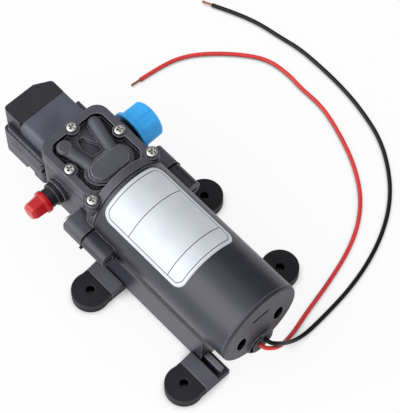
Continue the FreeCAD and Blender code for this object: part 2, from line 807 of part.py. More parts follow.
def head_cover():
    """Cover with a raised rim and the moulded dome, ducts and knob that hold the galleries."""
    block = rounded_block(head_front_x, head_rear_x, -head_half_y, head_half_y, cover_z, rim_z,
                          head_corner_r)
    upper = [e for e in block.Edges if e.BoundBox.ZMin > rim_z - touch_gap]
    block = block.makeFillet(head_edge_r, upper)
    bosses = [rod_z(cover_z, rim_z, screw_boss_r, x, y) for x, y in head_screw_xy]
    pocket = rounded_block(pocket_front_x, pocket_rear_x, -pocket_half_y, pocket_half_y,
                           floor_z, rim_z + 1, pocket_r)
    well = outline([(x, y, cover_z - 1) for x, y in well_xy], (0, 0, floor_z - cover_z + 2))
    body = block.cut([pocket, well])
    half = (dome_x1 - dome_x0) / 2
    foot_rise = rim_z - dome_foot_drop
    dome = [
        rounded_block(dome_x0 - dome_foot, dome_x1, -dome_half_y - dome_foot,
                      dome_half_y + dome_foot, floor_z - 0.1, foot_rise,
                      half + dome_foot / 2 - 0.01),
        rounded_block(dome_x0, dome_x1, -dome_half_y, dome_half_y, floor_z - 0.1, dome_z,
                      half - 0.01),
        rounded_block(dome_x0 + dome_step, dome_x1 - dome_step, dome_step - dome_half_y,
                      dome_half_y - dome_step, floor_z, dome_top_z, half - dome_step - 0.01),
    ]
    knob = turned_z([(0, cover_z), (knob_r, cover_z), (knob_r, knob_z - knob_bevel),
                     (knob_r - knob_bevel, knob_z), (0, knob_z)], knob_x, knob_y)
    delivery = duct((knob_x, knob_y), (valve_x, delivery_duct_end_y), duct_r)
    suction = duct(suction_duct_from, suction_duct_to, duct_r)
    plug = Part.makeSphere(duct_r, V(suction_duct_from[0], suction_duct_from[1], duct_z))
    below = box(front_x, seam_x, -shell_r, shell_r, 0, cover_z)
    body = body.fuse(dome + [knob] + bosses + [f.cut(below) for f in (delivery, suction, plug)])
    cuts = head_screw_holes(cover_z - 1, dome_top_z + 1, screw_clear_r)
    room = half - dome_wall
    for s in (1, -1):
        cuts.append(rounded_block(valve_x - room, valve_x + room,
                                  min(dome_split * s, gallery_y * s),
                                  max(dome_split * s, gallery_y * s), cover_z - 1,
                                  dome_z - dome_wall, gallery_r))
        cuts.append(rod_z(cover_z - 1, duct_z, way_r, knob_x, knob_y * s))
    cuts.append(duct((knob_x, knob_y), (valve_x, delivery_duct_end_y), duct_bore_r))
    cuts.append(duct((knob_x, -knob_y), (valve_x, -delivery_duct_end_y), duct_bore_r))
    stop_z = cover_z + valve_t + valve_lift + touch_gap
    stop = rod_z(stop_z, dome_z, stop_r, valve_x, -valve_y).cut(
        rod_z(0, cover_z + stop_bore_up, seat_pin_r + snug, valve_x, -valve_y))
    return body.cut(cuts).fuse(stop).removeSplitter()


def pan_screw(axis, head_r, head_h, shank_r, length):
    """Cross-head screw: head's underside at the origin, shank down -Z, turned to an axis."""
    crown = turned_z([(0, 0), (head_r, 0), (head_r, head_h * 0.55), (head_r * 0.72, head_h),
                      (0, head_h)], 0, 0)
    shank = rod_z(-length, 0.1, shank_r, 0, 0)
    arm, width, depth = head_r * 0.55, head_r * 0.2, head_h * 0.6
    cross = [box(-arm, arm, -width / 2, width / 2, head_h - depth, head_h + 1),
             box(-width / 2, width / 2, -arm, arm, head_h - depth, head_h + 1)]
    screw = crown.fuse(shank).cut(cross).removeSplitter()
    screw.rotate(V(0, 0, 0), V(0, 1, 0), {"up": 0, "front": -90, "down": 180}[axis])
    return screw


def placed(shape, x, y, z):
    """A copy of a shape moved to a point."""
    copy = shape.copy()
    copy.translate(V(x, y, z))
    return copy


def head_screws():
    """Five screws that clamp cover, valve plate and diaphragm to the crankcase."""
    screw = pan_screw("up", screw_head_r, screw_head_h, screw_r, rim_z - screw_tip_z)
    return [placed(screw, x, y, rim_z) for x, y in head_screw_xy]


def ear_screws():
    """Two screws along X that hold the crankcase to the housing."""
    length = ear_case_length + gasket_t + ear_screw_depth - 0.5
    screw = pan_screw("front", ear_head_r, ear_head_h, ear_screw_r, length)
    x = case_rear_x - ear_case_length
    return [placed(screw, x, ear_screw_y * s, ear_z) for s in (1, -1)]


def seal_ring(side):
    """Rubber ring in the groove of a fitting's shank."""
    ring = Part.makeTorus(spigot_seat_r - seal_wire_r, seal_wire_r, V(0, 0, 0), V(0, 1, 0))
    return placed(ring, port_x, seal_y * side, port_z)


def fitting_shank(side):
    """Shank of a port fitting in the crankcase, with its seal groove, and the bore cutter."""
    inner_y = port_room[3]
    shank = rod_y(inner_y * side, (boss_end_y + 0.1) * side, spigot_seat_r, port_x, port_z)
    groove = Part.makeTorus(spigot_seat_r - seal_wire_r, seal_wire_r + snug / 5, V(0, 0, 0),
                            V(0, 1, 0))
    band = rod_y((seal_y - seal_wire_r) * side, (seal_y + seal_wire_r) * side,
                 spigot_seat_r + 1, port_x, port_z)
    band = band.cut(rod_y((seal_y - 2) * side, (seal_y + 2) * side, spigot_seat_r - seal_wire_r,
                          port_x, port_z))
    return shank.cut([placed(groove, port_x, seal_y * side, port_z), band])


def outlet_fitting():
    """Barbless outlet tube on the -Y side, pushed into the crankcase."""
    tip = rod_y(-outlet_step_y, -outlet_end_y, outlet_tip_r, port_x, port_z)
    root = rod_y(-boss_end_y, -outlet_step_y, outlet_root_r, port_x, port_z)
    collar = rod_y(-boss_end_y, -boss_end_y - outlet_collar_w, outlet_collar_r, port_x, port_z)
    body = fitting_shank(-1).fuse([tip, root, collar])
    return body.cut(rod_y(0, -outlet_end_y - 1, fitting_bore_r, port_x, port_z)).removeSplitter()


def inlet_fitting():
    """Threaded inlet spigot on the +Y side; its thread is turned as separate ridges."""
    start_y = boss_end_y + inlet_collar_w
    profile = [(boss_end_y, 0), (boss_end_y, inlet_collar_r), (start_y, inlet_collar_r),
               (start_y, inlet_r - inlet_thread_depth)]
    count = int((inlet_end_y - start_y - inlet_thread_pitch) / inlet_thread_pitch)
    for i in range(count):
        y = start_y + (i + 0.5) * inlet_thread_pitch
        profile += [(y, inlet_r - inlet_thread_depth), (y + inlet_thread_pitch * 0.4, inlet_r),
                    (y + inlet_thread_pitch * 0.6, inlet_r),
                    (y + inlet_thread_pitch, inlet_r - inlet_thread_depth)]
    profile += [(inlet_end_y, inlet_r - inlet_thread_depth), (inlet_end_y, 0)]
    body = fitting_shank(1).fuse(turned_y(tidy_profile(profile), port_x, port_z))
    bore = rod_y(0, inlet_end_y + 1, fitting_bore_r, port_x, port_z)
    cup = rod_y(inlet_cup_y, inlet_end_y + 1, inlet_cup_r, port_x, port_z)
    return body.cut([bore, cup]).removeSplitter()


def tidy_profile(points):
    """A turned outline without the points that repeat the one before them."""
    kept = [points[0]]
    for point in points[1:]:
        if math.dist(point, kept[-1]) > 1e-6:
            kept.append(point)
    return kept


def inlet_cap():
    """Blue transport cap over the inlet, a cup with a flange and gripping ribs."""
    edge = blue_edge
    cup = turned_y([
        (blue_start_y, inlet_r + cap_gap), (blue_start_y, blue_flange_r),
        (blue_start_y + blue_flange_w, blue_flange_r), (blue_start_y + blue_flange_w, blue_r),
        (blue_end_y - edge, blue_r - 0.3), (blue_end_y - edge * 0.3, blue_r - edge * 0.45),
        (blue_end_y, blue_r - edge), (blue_end_y, 0), (blue_end_y - cap_wall, 0),
        (blue_end_y - cap_wall, inlet_r + cap_gap),
    ], port_x, port_z)
    rib = rod_y(blue_start_y + blue_flange_w / 2, blue_end_y - edge, blue_rib_r, port_x,
                port_z + blue_r - blue_rib_sink)
    ribs = []
    for i in range(12):
        copy = rib.copy()
        copy.rotate(V(port_x, 0, port_z), V(0, 1, 0), i * 30 + 15)
        ribs.append(copy)
    return cup.fuse(ribs).removeSplitter()


def outlet_cap():
    """Red transport cap over the outlet, a thinner cup with a flange and a faceted end."""
    bore_r = outlet_tip_r + cap_gap
    facet_y = red_end_y - red_facet
    cup = turned_y([
        (-red_start_y, bore_r), (-red_start_y, red_flange_r),
        (-red_start_y - red_flange_w, red_flange_r), (-red_start_y - red_flange_w, red_r),
        (-facet_y, red_r), (-facet_y, 0), (-outlet_end_y - touch_gap, 0),
        (-outlet_end_y - touch_gap, bore_r),
    ], port_x, port_z)
    points = []
    for i in range(6):
        angle = math.radians(60 * i + 30)
        points.append((port_x + red_r * math.cos(angle), -facet_y,
                       port_z + red_r * math.sin(angle)))
    end = outline(points, (0, facet_y - red_end_y, 0))
    cone = turned_y([(-facet_y + 0.1, 0), (-facet_y + 0.1, red_r), (-facet_y, red_r),
                     (-red_end_y, red_tip_r), (-red_end_y, 0)], port_x, port_z)
    return cup.fuse(end.common(cone)).removeSplitter()


def switch_passages():
    """Everything that is hollow in the two blocks of the switch base."""
    mid_z = (sense_z0 + sense_z1) / 2
    wire_top = base_top_z + 1
    cuts = [
        rod_z(sense_z0, sense_z1 + 0.1, sense_room_r, sense_x, 0),
        rod_z(sense_z1, sense_z1 + sheet_t, sheet_r + snug, sense_x, 0),
        rod_z(sense_z1, base_top_z - base_plate_t, spring_room_r, sense_x, 0),
        rod_z(sense_z1, base_top_z + 1, plunger_r + touch_gap, sense_x, 0),
        rod_x(sense_drop_x - sense_bore_r, base_rear_x + 1, sense_bore_r, -sense_way_y,
              sense_way_z),
        rod_z(mid_z, sense_way_z, sense_bore_r, sense_drop_x, -sense_way_y),
        rod_x(sense_x + 1, sense_drop_x, sense_bore_r, -sense_way_y, mid_z),
    ]
    for y in (wire_y, slot_y):
        cuts.append(rod_z(wire_z, wire_top, wire_r + snug, wire_drop_x, y))
    cuts.append(box(wire_drop_x - wire_r - snug, base_rear_x + 1, slot_y - wire_r - snug,
                    wire_y + wire_r + snug, wire_z - wire_r - snug,
                    wire_z + wire_bend + wire_r))
    for s in (1, -1):
        cuts.append(rod_x(base_front_x - 1, base_rear_x + 1, mount_screw_r + snug,
                          mount_screw_y * s, mount_screw_z))
        cuts.append(rod_x(base_front_x - 1, base_front_x + mount_head_sink,
                          mount_head_r + touch_gap, mount_screw_y * s, mount_screw_z))
        cuts.append(box(clip_x - clip_half_x, clip_x + clip_half_x, (base_half_y + 1) * s,
                        (base_half_y - clip_depth) * s, base_bottom_z - 1,
                        base_bottom_z + clip_height))
    for x, y in switch_screw_xy:
        cuts.append(rod_z(base_bottom_z - 1, base_top_z + 1, switch_screw_r + snug, x, y))
        cuts.append(rod_z(base_bottom_z - 1, base_bottom_z + switch_head_sink,
                          switch_head_r + touch_gap, x, y))
    return cuts


def switch_water_block():
    """Lower block of the switch base, with the water room under the rubber sheet."""
    block = rounded_block(base_front_x, base_rear_x, -base_half_y, base_half_y, base_bottom_z,
                          sense_z1, base_corner_r)
    return block.cut(switch_passages()).removeSplitter()


def switch_base():
    """Upper block of the switch base: spring room, top plate and the seat of the microswitch."""
    under_plate = base_top_z - base_plate_t
    body = rounded_block(base_front_x, base_rear_x, -base_half_y, base_half_y, sense_z1,
                         under_plate, base_corner_r)
    plate = rounded_block(base_front_x + base_step, base_rear_x, -base_plate_half_y,
                          base_plate_half_y, under_plate - 0.1, base_top_z, base_corner_r)
    ridges = [rod_x(ridge_x0, base_rear_x, ridge_r, (base_half_y - ridge_sink) * s, ridge_z)
              for s in (1, -1)]
    feet = []
    for s in (1, -1):
        end_x = micro_x + micro_length / 2 * s
        feet.append(box(end_x, end_x - micro_foot * s, -micro_width / 2, micro_width / 2,
                        base_top_z - 0.1, micro_z0))
    return body.fuse([plate] + ridges + feet).cut(switch_passages()).removeSplitter()


def microswitch():
    """Snap switch with its button over the plunger and two terminals at its rear end."""
    x0, x1 = micro_x - micro_length / 2, micro_x + micro_length / 2
    case = box(x0, x1, -micro_width / 2, micro_width / 2, micro_z0, micro_z1)
    button = box(sense_x - 1.2, sense_x + 1.2, -0.8, 0.8, plunger_top_z + plunger_travel + 0.1,
                 micro_z0 + 0.1)
    tabs = [box(x1 - 0.1, wire_drop_x + wire_r, y - 0.4, y + 0.4, micro_z0 + 0.6,
                micro_z1 - 0.4) for y in (-1.6, 1.6)]
    return case.fuse([button] + tabs).removeSplitter()


def switch_mount_screws():
    """Two long screws along X that hold the switch base to the crankcase."""
    x = base_front_x + mount_head_sink
    length = head_front_x + mount_screw_bite - 0.5 - x
    screw = pan_screw("front", mount_head_r, mount_head_h, mount_screw_r, length)
    return [placed(screw, x, mount_screw_y * s, mount_screw_z) for s in (1, -1)]


def screw_posts_bore(places):
    """Blind holes for the switch screws in the posts of a cover."""
    return [rod_z(base_top_z - 1, base_top_z + switch_screw_bite + touch_gap,
                  switch_screw_r + snug, x, y) for x, y in places]


def switch_cover():
    """Grey cover over the rear of the switch, its upper left edge rounded."""
    rear_x = head_front_x - touch_gap
    r = switch_round
    k = r * (1 - math.sqrt(0.5))
    y0, y1, z0, z1 = -switch_half_y, switch_half_y, base_top_z, switch_top_z
    arc = Part.Arc(V(switch_split_x, y0, z1 - r), V(switch_split_x, y0 + k, z1 - k),
                   V(switch_split_x, y0 + r, z1))
    lines = Part.makePolygon([V(switch_split_x, y0 + r, z1), V(switch_split_x, y1, z1),
                              V(switch_split_x, y1, z0), V(switch_split_x, y0, z0),
                              V(switch_split_x, y0, z1 - r)])
    outer = Part.Face(Part.Wire([arc.toShape()] + lines.Edges)).extrude(
        V(rear_x - switch_split_x, 0, 0))
    inner = box(switch_split_x - 1, rear_x - switch_wall, y0 + switch_wall, y1 - switch_wall,
                z0 - 1, z1 - switch_wall)
    rear = [(x, y) for x, y in switch_screw_xy if x > switch_split_x]
    lug_z = base_top_z + switch_lug_z0_up
    lug = box(front_x + switch_lug_back, rear_x, y1 - switch_wall / 2, y1 + switch_lug_w, lug_z,
              lug_z + switch_lug_h)
    body = outer.cut(inner).fuse([lug] + [rod_z(z0, z1 - switch_wall / 2, post_r, x, y)
                                          for x, y in rear])
    return body.cut(screw_posts_bore(rear)).removeSplitter()


def switch_front_cap():
    """Black front cap of the switch, with a slanting corner on the inlet side and a lip that
    hangs over the base."""
    y0, y1, z1 = -switch_half_y, switch_half_y, switch_top_z + front_cap_rise
    z0, low, w = base_top_z, base_top_z - front_cap_lip, switch_wall
    outer = outline([(front_x, y0, low), (switch_split_x, y0, low), (switch_split_x, y1, low),
                     (front_x + switch_bevel_x, y1, low), (front_x, switch_bevel_y, low)],
                    (0, 0, z1 - low))
    upright = [e for e in outer.Edges if e.BoundBox.ZLength > w and
               e.BoundBox.XMax < switch_split_x - w]
    outer = outer.makeFillet(front_cap_r, upright)
    inner = [(front_x + w, y0 + w, z0), (switch_split_x + 1, y0 + w, z0),
             (switch_split_x + 1, y1 - w, z0), (front_x + switch_bevel_x + w, y1 - w, z0),
             (front_x + w, switch_bevel_y, z0)]
    under = [box(base_front_x - touch_gap, switch_split_x + 1, y0 - 1, y1 + 1, low - 1, z0),
             box(front_x - 1, switch_split_x, switch_bevel_y, y1 + 1, low - 1, z0)]
    front = [(x, y) for x, y in switch_screw_xy if x < switch_split_x]
    body = outer.cut([outline(inner, (0, 0, z1 - w - z0))] + under)
    body = body.fuse([rod_z(z0, z1 - w / 2, post_r, x, y) for x, y in front])
    return body.cut(screw_posts_bore(front)).removeSplitter()


def switch_screws():
    """Four upright screws from below, through the base into the posts of the covers."""
    z = base_bottom_z + switch_head_sink
    screw = pan_screw("down", switch_head_r, switch_head_h, switch_screw_r,
                      base_top_z + switch_screw_bite - z)
    return [placed(screw, x, y, z) for x, y in switch_screw_xy]


def switch_plunger():
    """Plastic plunger: its head rests on the rubber sheet, its stem works the microswitch."""
    z0 = sense_z1 + sheet_t + stack_gap
    return joined(rod_z(z0, z0 + plunger_head_t, plunger_head_r, sense_x, 0),
                  rod_z(z0, plunger_top_z, plunger_r, sense_x, 0))


def switch_spring():
    """Stand-in of the hidden coil spring: a sleeve of the coil's size, from head to roof."""
    z0 = sense_z1 + sheet_t + stack_gap + plunger_head_t + stack_gap
    z1 = base_top_z - base_plate_t - stack_gap
    return rod_z(z0, z1, spring_r + spring_wire_r, sense_x, 0).cut(
        rod_z(z0 - 1, z1 + 1, spring_r - spring_wire_r, sense_x, 0))


def motor_can():
    """Drawn steel can of the motor, with the boss that holds the front bearing."""
    x0, x1 = case_rear_x, can_rear_x
    bx = x0 - front_boss_length
    bearing_x = bx + can_wall * 0.6
    return turned_x([
        (bx, shaft_r + 1.0), (bx, front_boss_r), (x0, front_boss_r), (x0, can_r), (x1, can_r),
        (x1, can_r - can_wall), (x0 + can_wall, can_r - can_wall),
        (x0 + can_wall, bearing_r + snug), (bearing_x, bearing_r + snug),
        (bearing_x, shaft_r + 1.0),
    ])


def motor_end_bell():
    """Plastic rear lid of the motor, pressed into the can, with the boss of the rear bush."""
    x1 = can_rear_x
    x0 = x1 - end_bell_t
    lid = rod_x(x0, x1, can_r - can_wall - snug)
    boss = rod_x(x1 - 0.1, x1 + rear_boss_length, rear_boss_r)
    cuts = [rod_x(x0 - 1, x1 + rear_boss_length - 1.0, bush_r + snug)]
    for s in (1, -1):
        cuts.append(box(x0 - 1, x1 + 1, tab_y * s - tab_t / 2 - snug, tab_y * s + tab_t / 2 + snug,
                        axis_z - tab_w / 2 - snug, axis_z + tab_w / 2 + snug))
    return lid.fuse(boss).cut(cuts).removeSplitter()


def magnet_arc(side):
    """One curved ferrite magnet on the inside of the can."""
    outer_r = can_r - can_wall - snug / 2
    x0, x1 = magnet_x, magnet_rear_x
    ring = rod_x(x0, x1, outer_r).cut(rod_x(x0 - 1, x1 + 1, outer_r - magnet_t))
    reach = 2 * can_r
    spread = reach * math.tan(math.radians(magnet_half_angle))
    wedge = outline([(x0 - 1, 0, axis_z), (x0 - 1, spread, axis_z + reach * side),
                     (x0 - 1, -spread, axis_z + reach * side)], (x1 - x0 + 2, 0, 0))
    return ring.common(wedge)


def motor_shaft():
    """Steel shaft from the eccentric to the rear bush, thinner at its front end."""
    end_x = can_rear_x + rear_boss_length - 1.4
    return joined(rod_x(crank_nose_x, shaft_step_x, shaft_nose_r),
                  rod_x(shaft_step_x, end_x, shaft_r))


def armature_core():
    """Laminated iron core with slots between its poles."""
    x0, x1 = core_x, core_rear_x
    core = rod_x(x0, x1, core_r)
    cuts = [rod_x(x0 - 1, x1 + 1, shaft_r)]
    for i in range(slot_count):
        ring = rod_x(x0 - 1, x1 + 1, core_r - pole_tip).cut(rod_x(x0 - 2, x1 + 2, slot_root_r))
        slot = ring.common(box(x0 - 1, x1 + 1, -slot_half_width, slot_half_width, axis_z,
                               axis_z + core_r))
        neck = box(x0 - 1, x1 + 1, -slot_neck / 2, slot_neck / 2, axis_z + slot_root_r,
                   axis_z + core_r + 1)
        for cut in (slot, neck):
            turned = cut.copy()
            turned.rotate(V(0, 0, axis_z), V(1, 0, 0), 360 * i / slot_count)
            cuts.append(turned)
    return core.cut(cuts).removeSplitter()


def armature_windings():
    """Copper coils in the slots and the winding heads at both ends of the core."""
    coils = []
    x0, x1 = core_x, core_rear_x
    gap = 0.1
    for i in range(slot_count):
        ring = rod_x(x0 - 0.1, x1 + 0.1, core_r - pole_tip - gap).cut(
            rod_x(x0 - 1, x1 + 1, slot_root_r + gap))
        fill = ring.common(box(x0 - 1, x1 + 1, gap - slot_half_width, slot_half_width - gap,
                               axis_z, axis_z + core_r))
        fill.rotate(V(0, 0, axis_z), V(1, 0, 0), 360 * i / slot_count)
        coils.append(fill)
    heads = []
    for a, b in ((x0 - winding_proud, x0), (x1, x1 + winding_proud)):
        heads.append(rod_x(a, b, winding_r).cut(rod_x(a - 1, b + 1, slot_root_r)))
    return heads[0].fuse(heads[1:] + coils).removeSplitter()


def commutator():
    """Copper segments on a moulded core, grooved between the segments."""
    x0 = commutator_x
    body = rod_x(x0, x0 + commutator_length, commutator_r).cut(
        rod_x(x0 - 1, x0 + commutator_length + 1, shaft_r))
    grooves = []
    for i in range(slot_count):
        groove = box(x0 - 1, x0 + commutator_length - 1.5, -0.25, 0.25,
                     axis_z + commutator_r - 1.0, axis_z + commutator_r + 1)
        groove.rotate(V(0, 0, axis_z), V(1, 0, 0), 360 * (i + 0.5) / slot_count)
        grooves.append(groove)
    return body.cut(grooves)


def cooling_fan():
    """Plastic fan on the shaft in front of the armature."""
    hub = rod_x(fan_x, fan_x + fan_w, 5.0)
    disc = rod_x(fan_x + fan_w - 1.0, fan_x + fan_w, fan_r)
    blades = []
    for i in range(blade_count):
        blade = box(fan_x, fan_x + fan_w, -0.5, 0.5, axis_z + 4.5, axis_z + fan_r)
        blade.rotate(V(0, 0, axis_z), V(1, 0, 0), 360 * i / blade_count)
        blades.append(blade)
    return hub.fuse([disc] + blades).cut(rod_x(fan_x - 1, fan_x + fan_w + 1, shaft_r)
                                         ).removeSplitter()


def brush_card():
    """Moulded ring behind the magnets with a square tube for each brush."""
    x1 = can_rear_x - end_bell_t
    x0 = x1 - brush_card_t
    ring = rod_x(x0, x1, can_r - can_wall - snug).cut(rod_x(x0 - 1, x1 + 1, commutator_r + 1.5))
    half_w, half_h = brush_w / 2 + brush_tube_wall, brush_h / 2 + brush_tube_wall
    tubes, bores = [], []
    for s in (1, -1):
        y0, y1 = (commutator_r + 1.0) * s, brush_tube_end * s
        tubes.append(box(brush_x - half_w, x0 + 0.1, y0, y1, axis_z - half_h, axis_z + half_h))
        bores.append(box(brush_x - brush_w / 2 - snug, brush_x + brush_w / 2 + snug,
                         commutator_r * s, (brush_tube_end - brush_tube_wall) * s,
                         axis_z - brush_h / 2 - snug, axis_z + brush_h / 2 + snug))
        bores.append(box(x0 - 1, x1 + 1, tab_y * s - tab_t / 2 - snug,
                         tab_y * s + tab_t / 2 + snug, axis_z - tab_w / 2 - snug,
                         axis_z + tab_w / 2 + snug))
    return ring.fuse(tubes).cut(bores).removeSplitter()


def brushes():
    """Two carbon brushes, hollowed to the commutator's radius."""
    round_face = rod_x(brush_x - brush_w, brush_x + brush_w, commutator_r + running)
    return [box(brush_x - brush_w / 2, brush_x + brush_w / 2, (commutator_r - 1) * s,
                (commutator_r + brush_length) * s, axis_z - brush_h / 2, axis_z + brush_h / 2
                ).cut(round_face) for s in (1, -1)]


def brush_springs():
    """Stand-ins of the two small coil springs behind the brushes."""
    y0, y1 = commutator_r + brush_length, brush_tube_end - brush_tube_wall
    return [rod_y(y0 * s, y1 * s, brush_spring_r, brush_x, axis_z) for s in (1, -1)]


def motor_terminals():
    """Two flat tabs through the end bell; the wires are soldered to them."""
    x0 = can_rear_x - end_bell_t - brush_card_t
    x1 = can_rear_x + tab_length
    return [box(x0, x1, tab_y * s - tab_t / 2, tab_y * s + tab_t / 2, axis_z - tab_w / 2,
                axis_z + tab_w / 2) for s in (1, -1)]


def ring_x(x0, x1, outer_r, inner_r, y=0.0, z=axis_z):
    """Ring or bush about an axis along X."""
    return rod_x(x0, x1, outer_r, y, z).cut(rod_x(x0 - 1, x1 + 1, inner_r, y, z))


def crank_bearing():
    """Ball bearing between the eccentric and the rod, outer ring, inner ring and shield."""
    x0, x1 = crank_x - crank_bearing_w / 2, crank_x + crank_bearing_w / 2
    z = axis_z - throw
    body = ring_x(x0, x1, crank_bearing_r, hub_r + running, 0, z)
    groove = 0.25
    dents = [ring_x(a, b, crank_bearing_r - 0.6, hub_r + 0.65, 0, z)
             for a, b in ((x0 - 1, x0 + groove), (x1 - groove, x1 + 1))]
    return body.cut(dents)


def eccentric():
    """Off-centre hub on the front end of the shaft, with a shoulder behind the bearing."""
    z = axis_z - throw
    bearing_x = crank_x + crank_bearing_w / 2
    hub = rod_x(crank_nose_x + 0.5, bearing_x, hub_r, 0, z)
    shoulder = rod_x(bearing_x + rod_gap, shaft_step_x, shoulder_r, 0, z)
    neck = rod_x(bearing_x, bearing_x + rod_gap, hub_r, 0, z)
    bores = [rod_x(crank_nose_x - 1, shaft_step_x + 1, shaft_nose_r),
             rod_z(z - shoulder_r - 1, axis_z, grub_r + snug, grub_x, 0)]
    return hub.fuse([neck, shoulder]).cut(bores).removeSplitter()


def eccentric_grub_screw():
    """Socket grub screw that pins the eccentric to the shaft."""
    z0 = axis_z - throw - shoulder_r + 0.3
    z1 = axis_z - shaft_nose_r - 0.02
    socket = rod_z(z0 - 1, z0 + 1.2, grub_r * 0.5, grub_x, 0)
    return rod_z(z0, z1, grub_r, grub_x, 0).cut(socket)


def counterweight():
    """Half disc on the shaft, opposite the eccentric."""
    disc = rod_x(weight_x0, weight_x1, weight_r)
    keep = box(weight_x0 - 1, weight_x1 + 1, -weight_r - 1, weight_r + 1,
               axis_z - shaft_r - 1.6, axis_z + weight_r + 1)
    hub = rod_x(weight_x0, weight_x1, shaft_r + 1.6)
    upper = box(weight_x0 - 1, weight_x1 + 1, -weight_r - 1, weight_r + 1, axis_z,
                axis_z + weight_r + 1)
    return disc.common(keep).common(upper).fuse(hub).cut(
        rod_x(weight_x0 - 1, weight_x1 + 1, shaft_r)).removeSplitter()


def connecting_rod():
    """Short rod: a strap round the crank bearing and the disc that carries the diaphragm."""
    z, top_z = axis_z - throw, rod_top_z
    strap = rod_x(crank_x - strap_w / 2, crank_x + strap_w / 2, strap_r, 0, z)
    disc = rod_z(top_z - disc_t, top_z, disc_r, crank_x, 0)
    neck = rod_z(z + crank_bearing_r, top_z, rod_neck_r, crank_x, 0)
    x0, x1 = crank_x - strap_w / 2, crank_x + crank_bearing_w / 2
    bores = [rod_x(x0 - 1, x1, crank_bearing_r + snug, 0, z),
             rod_x(x1 - 1, crank_x + strap_w / 2 + 1, crank_bearing_r - 0.7, 0, z),
             rod_z(piston_screw_tip_z, top_z + 1, piston_screw_r + snug, crank_x, 0)]
    return strap.fuse([disc, neck]).cut(bores).removeSplitter()


def piston_plate():
    """Plate over the diaphragm, clamped down on the rod by a countersunk screw."""
    z0 = piston_top_z - plate_disc_t
    head = rod_z(z0 + plate_disc_t / 2, z0 + plate_disc_t + 1, piston_head_r + snug, crank_x, 0)
    hole = rod_z(z0 - 1, z0 + plate_disc_t + 1, piston_screw_r + snug, crank_x, 0)
    return rod_z(z0, z0 + plate_disc_t, disc_r, crank_x, 0).cut([head, hole])


def piston_screw():
    """Flat-head screw through the piston plate and the diaphragm into the rod."""
    z1 = piston_top_z
    head = rod_z(z1 - plate_disc_t / 2, z1, piston_head_r, crank_x, 0)
    shank = rod_z(piston_screw_tip_z, z1 - plate_disc_t / 2, piston_screw_r, crank_x, 0)
    slot = box(crank_x - 0.3, crank_x + 0.3, -piston_head_r, piston_head_r,
               z1 - plate_disc_t / 4, z1 + 1)
    return head.fuse(shank).cut(slot).removeSplitter()


def motor_end_cap():
    """Black rear cap with two oval vents, a slot and the domed boss of the lead grommet."""
    x0, x1 = shell_rear_x, cap_face_x
    r = cap_r
    k = cap_edge_r * (1 - math.sqrt(0.5))
    arc = Part.Arc(V(x1 - cap_edge_r, 0, axis_z + r), V(x1 - k, 0, axis_z + r - k),
                   V(x1, 0, axis_z + r - cap_edge_r)).toShape()
    lines = Part.makePolygon([
        V(x1, 0, axis_z + r - cap_edge_r), V(x1, 0, axis_z), V(x0, 0, axis_z),
        V(x0, 0, axis_z + can_bore_r - snug - cap_spigot_wall),
        V(x0 - cap_spigot, 0, axis_z + can_bore_r - snug - cap_spigot_wall),
        V(x0 - cap_spigot, 0, axis_z + can_bore_r - snug), V(x0, 0, axis_z + can_bore_r - snug),
        V(x0, 0, axis_z + r), V(x1 - cap_edge_r, 0, axis_z + r)])
    body = Part.Face(Part.Wire([arc] + lines.Edges)).revolve(V(0, 0, axis_z), V(1, 0, 0), 360)
    tip_x = x1 + boss_proud
    boss = turned_x([(x0, 0), (x0, lead_boss_r), (x1, lead_boss_r),
                     (x1 + boss_proud * 0.6, lead_boss_r - 0.7), (tip_x, lead_boss_tip_r),
                     (tip_x, 0)], 0, lead_boss_z)
    cuts = [
        rod_x(x0 - cap_spigot - 1, x1, grommet_neck_r + snug, 0, lead_boss_z),
        rod_x(x0 + touch_gap, tip_x + 1, grommet_r + snug, 0, lead_boss_z),
        rod_x(tip_x - grommet_lip_t, tip_x + 1, grommet_lip_r + snug, 0, lead_boss_z),
    ]
    for s in (1, -1):
        vent = rod_x(x0 - 1, x1 + 1, vent_half_w, 0, 0)
        stretch = FreeCAD.Matrix()
        stretch.scale(V(1, 1, vent_half_h / vent_half_w))
        vent = vent.transformGeometry(stretch)
        cuts.append(placed(vent, 0, vent_y * s, vent_z))
    groove = ring_x(tip_x - groove_depth, tip_x + 1, groove_r1, groove_r0, 0, lead_boss_z)
    cuts.append(groove.common(box(x0, tip_x + 1, 0, -lead_boss_r, lead_boss_z - grommet_r / 2,
                                  axis_z)))
    flat = slot_half_y - slot_half_z
    cuts.append(box(x0 - 1, x1 + 1, -flat, flat, slot_z - slot_half_z, slot_z + slot_half_z))
    cuts += [rod_x(x0 - 1, x1 + 1, slot_half_z, flat * s, slot_z) for s in (1, -1)]
    return body.fuse(boss).cut(cuts).removeSplitter()


def lead_grommet():
    """Rubber grommet in the lead boss, with a hole for each lead."""
    tip_x = cap_face_x + boss_proud
    x0 = shell_rear_x + touch_gap + snug
    body = turned_x([
        (shell_rear_x - cap_spigot + touch_gap, 0),
        (shell_rear_x - cap_spigot + touch_gap, grommet_neck_r), (x0, grommet_neck_r),
        (x0, grommet_r), (tip_x - grommet_lip_t + snug, grommet_r),
        (tip_x - grommet_lip_t + snug, grommet_lip_r), (tip_x, grommet_lip_r), (tip_x, 0),
    ], 0, lead_boss_z)
    return body.cut([rod_x(0, tip_x + 1, lead_r + snug / 5, lead_side * s, lead_exit_z)
                     for s in (1, -1)])


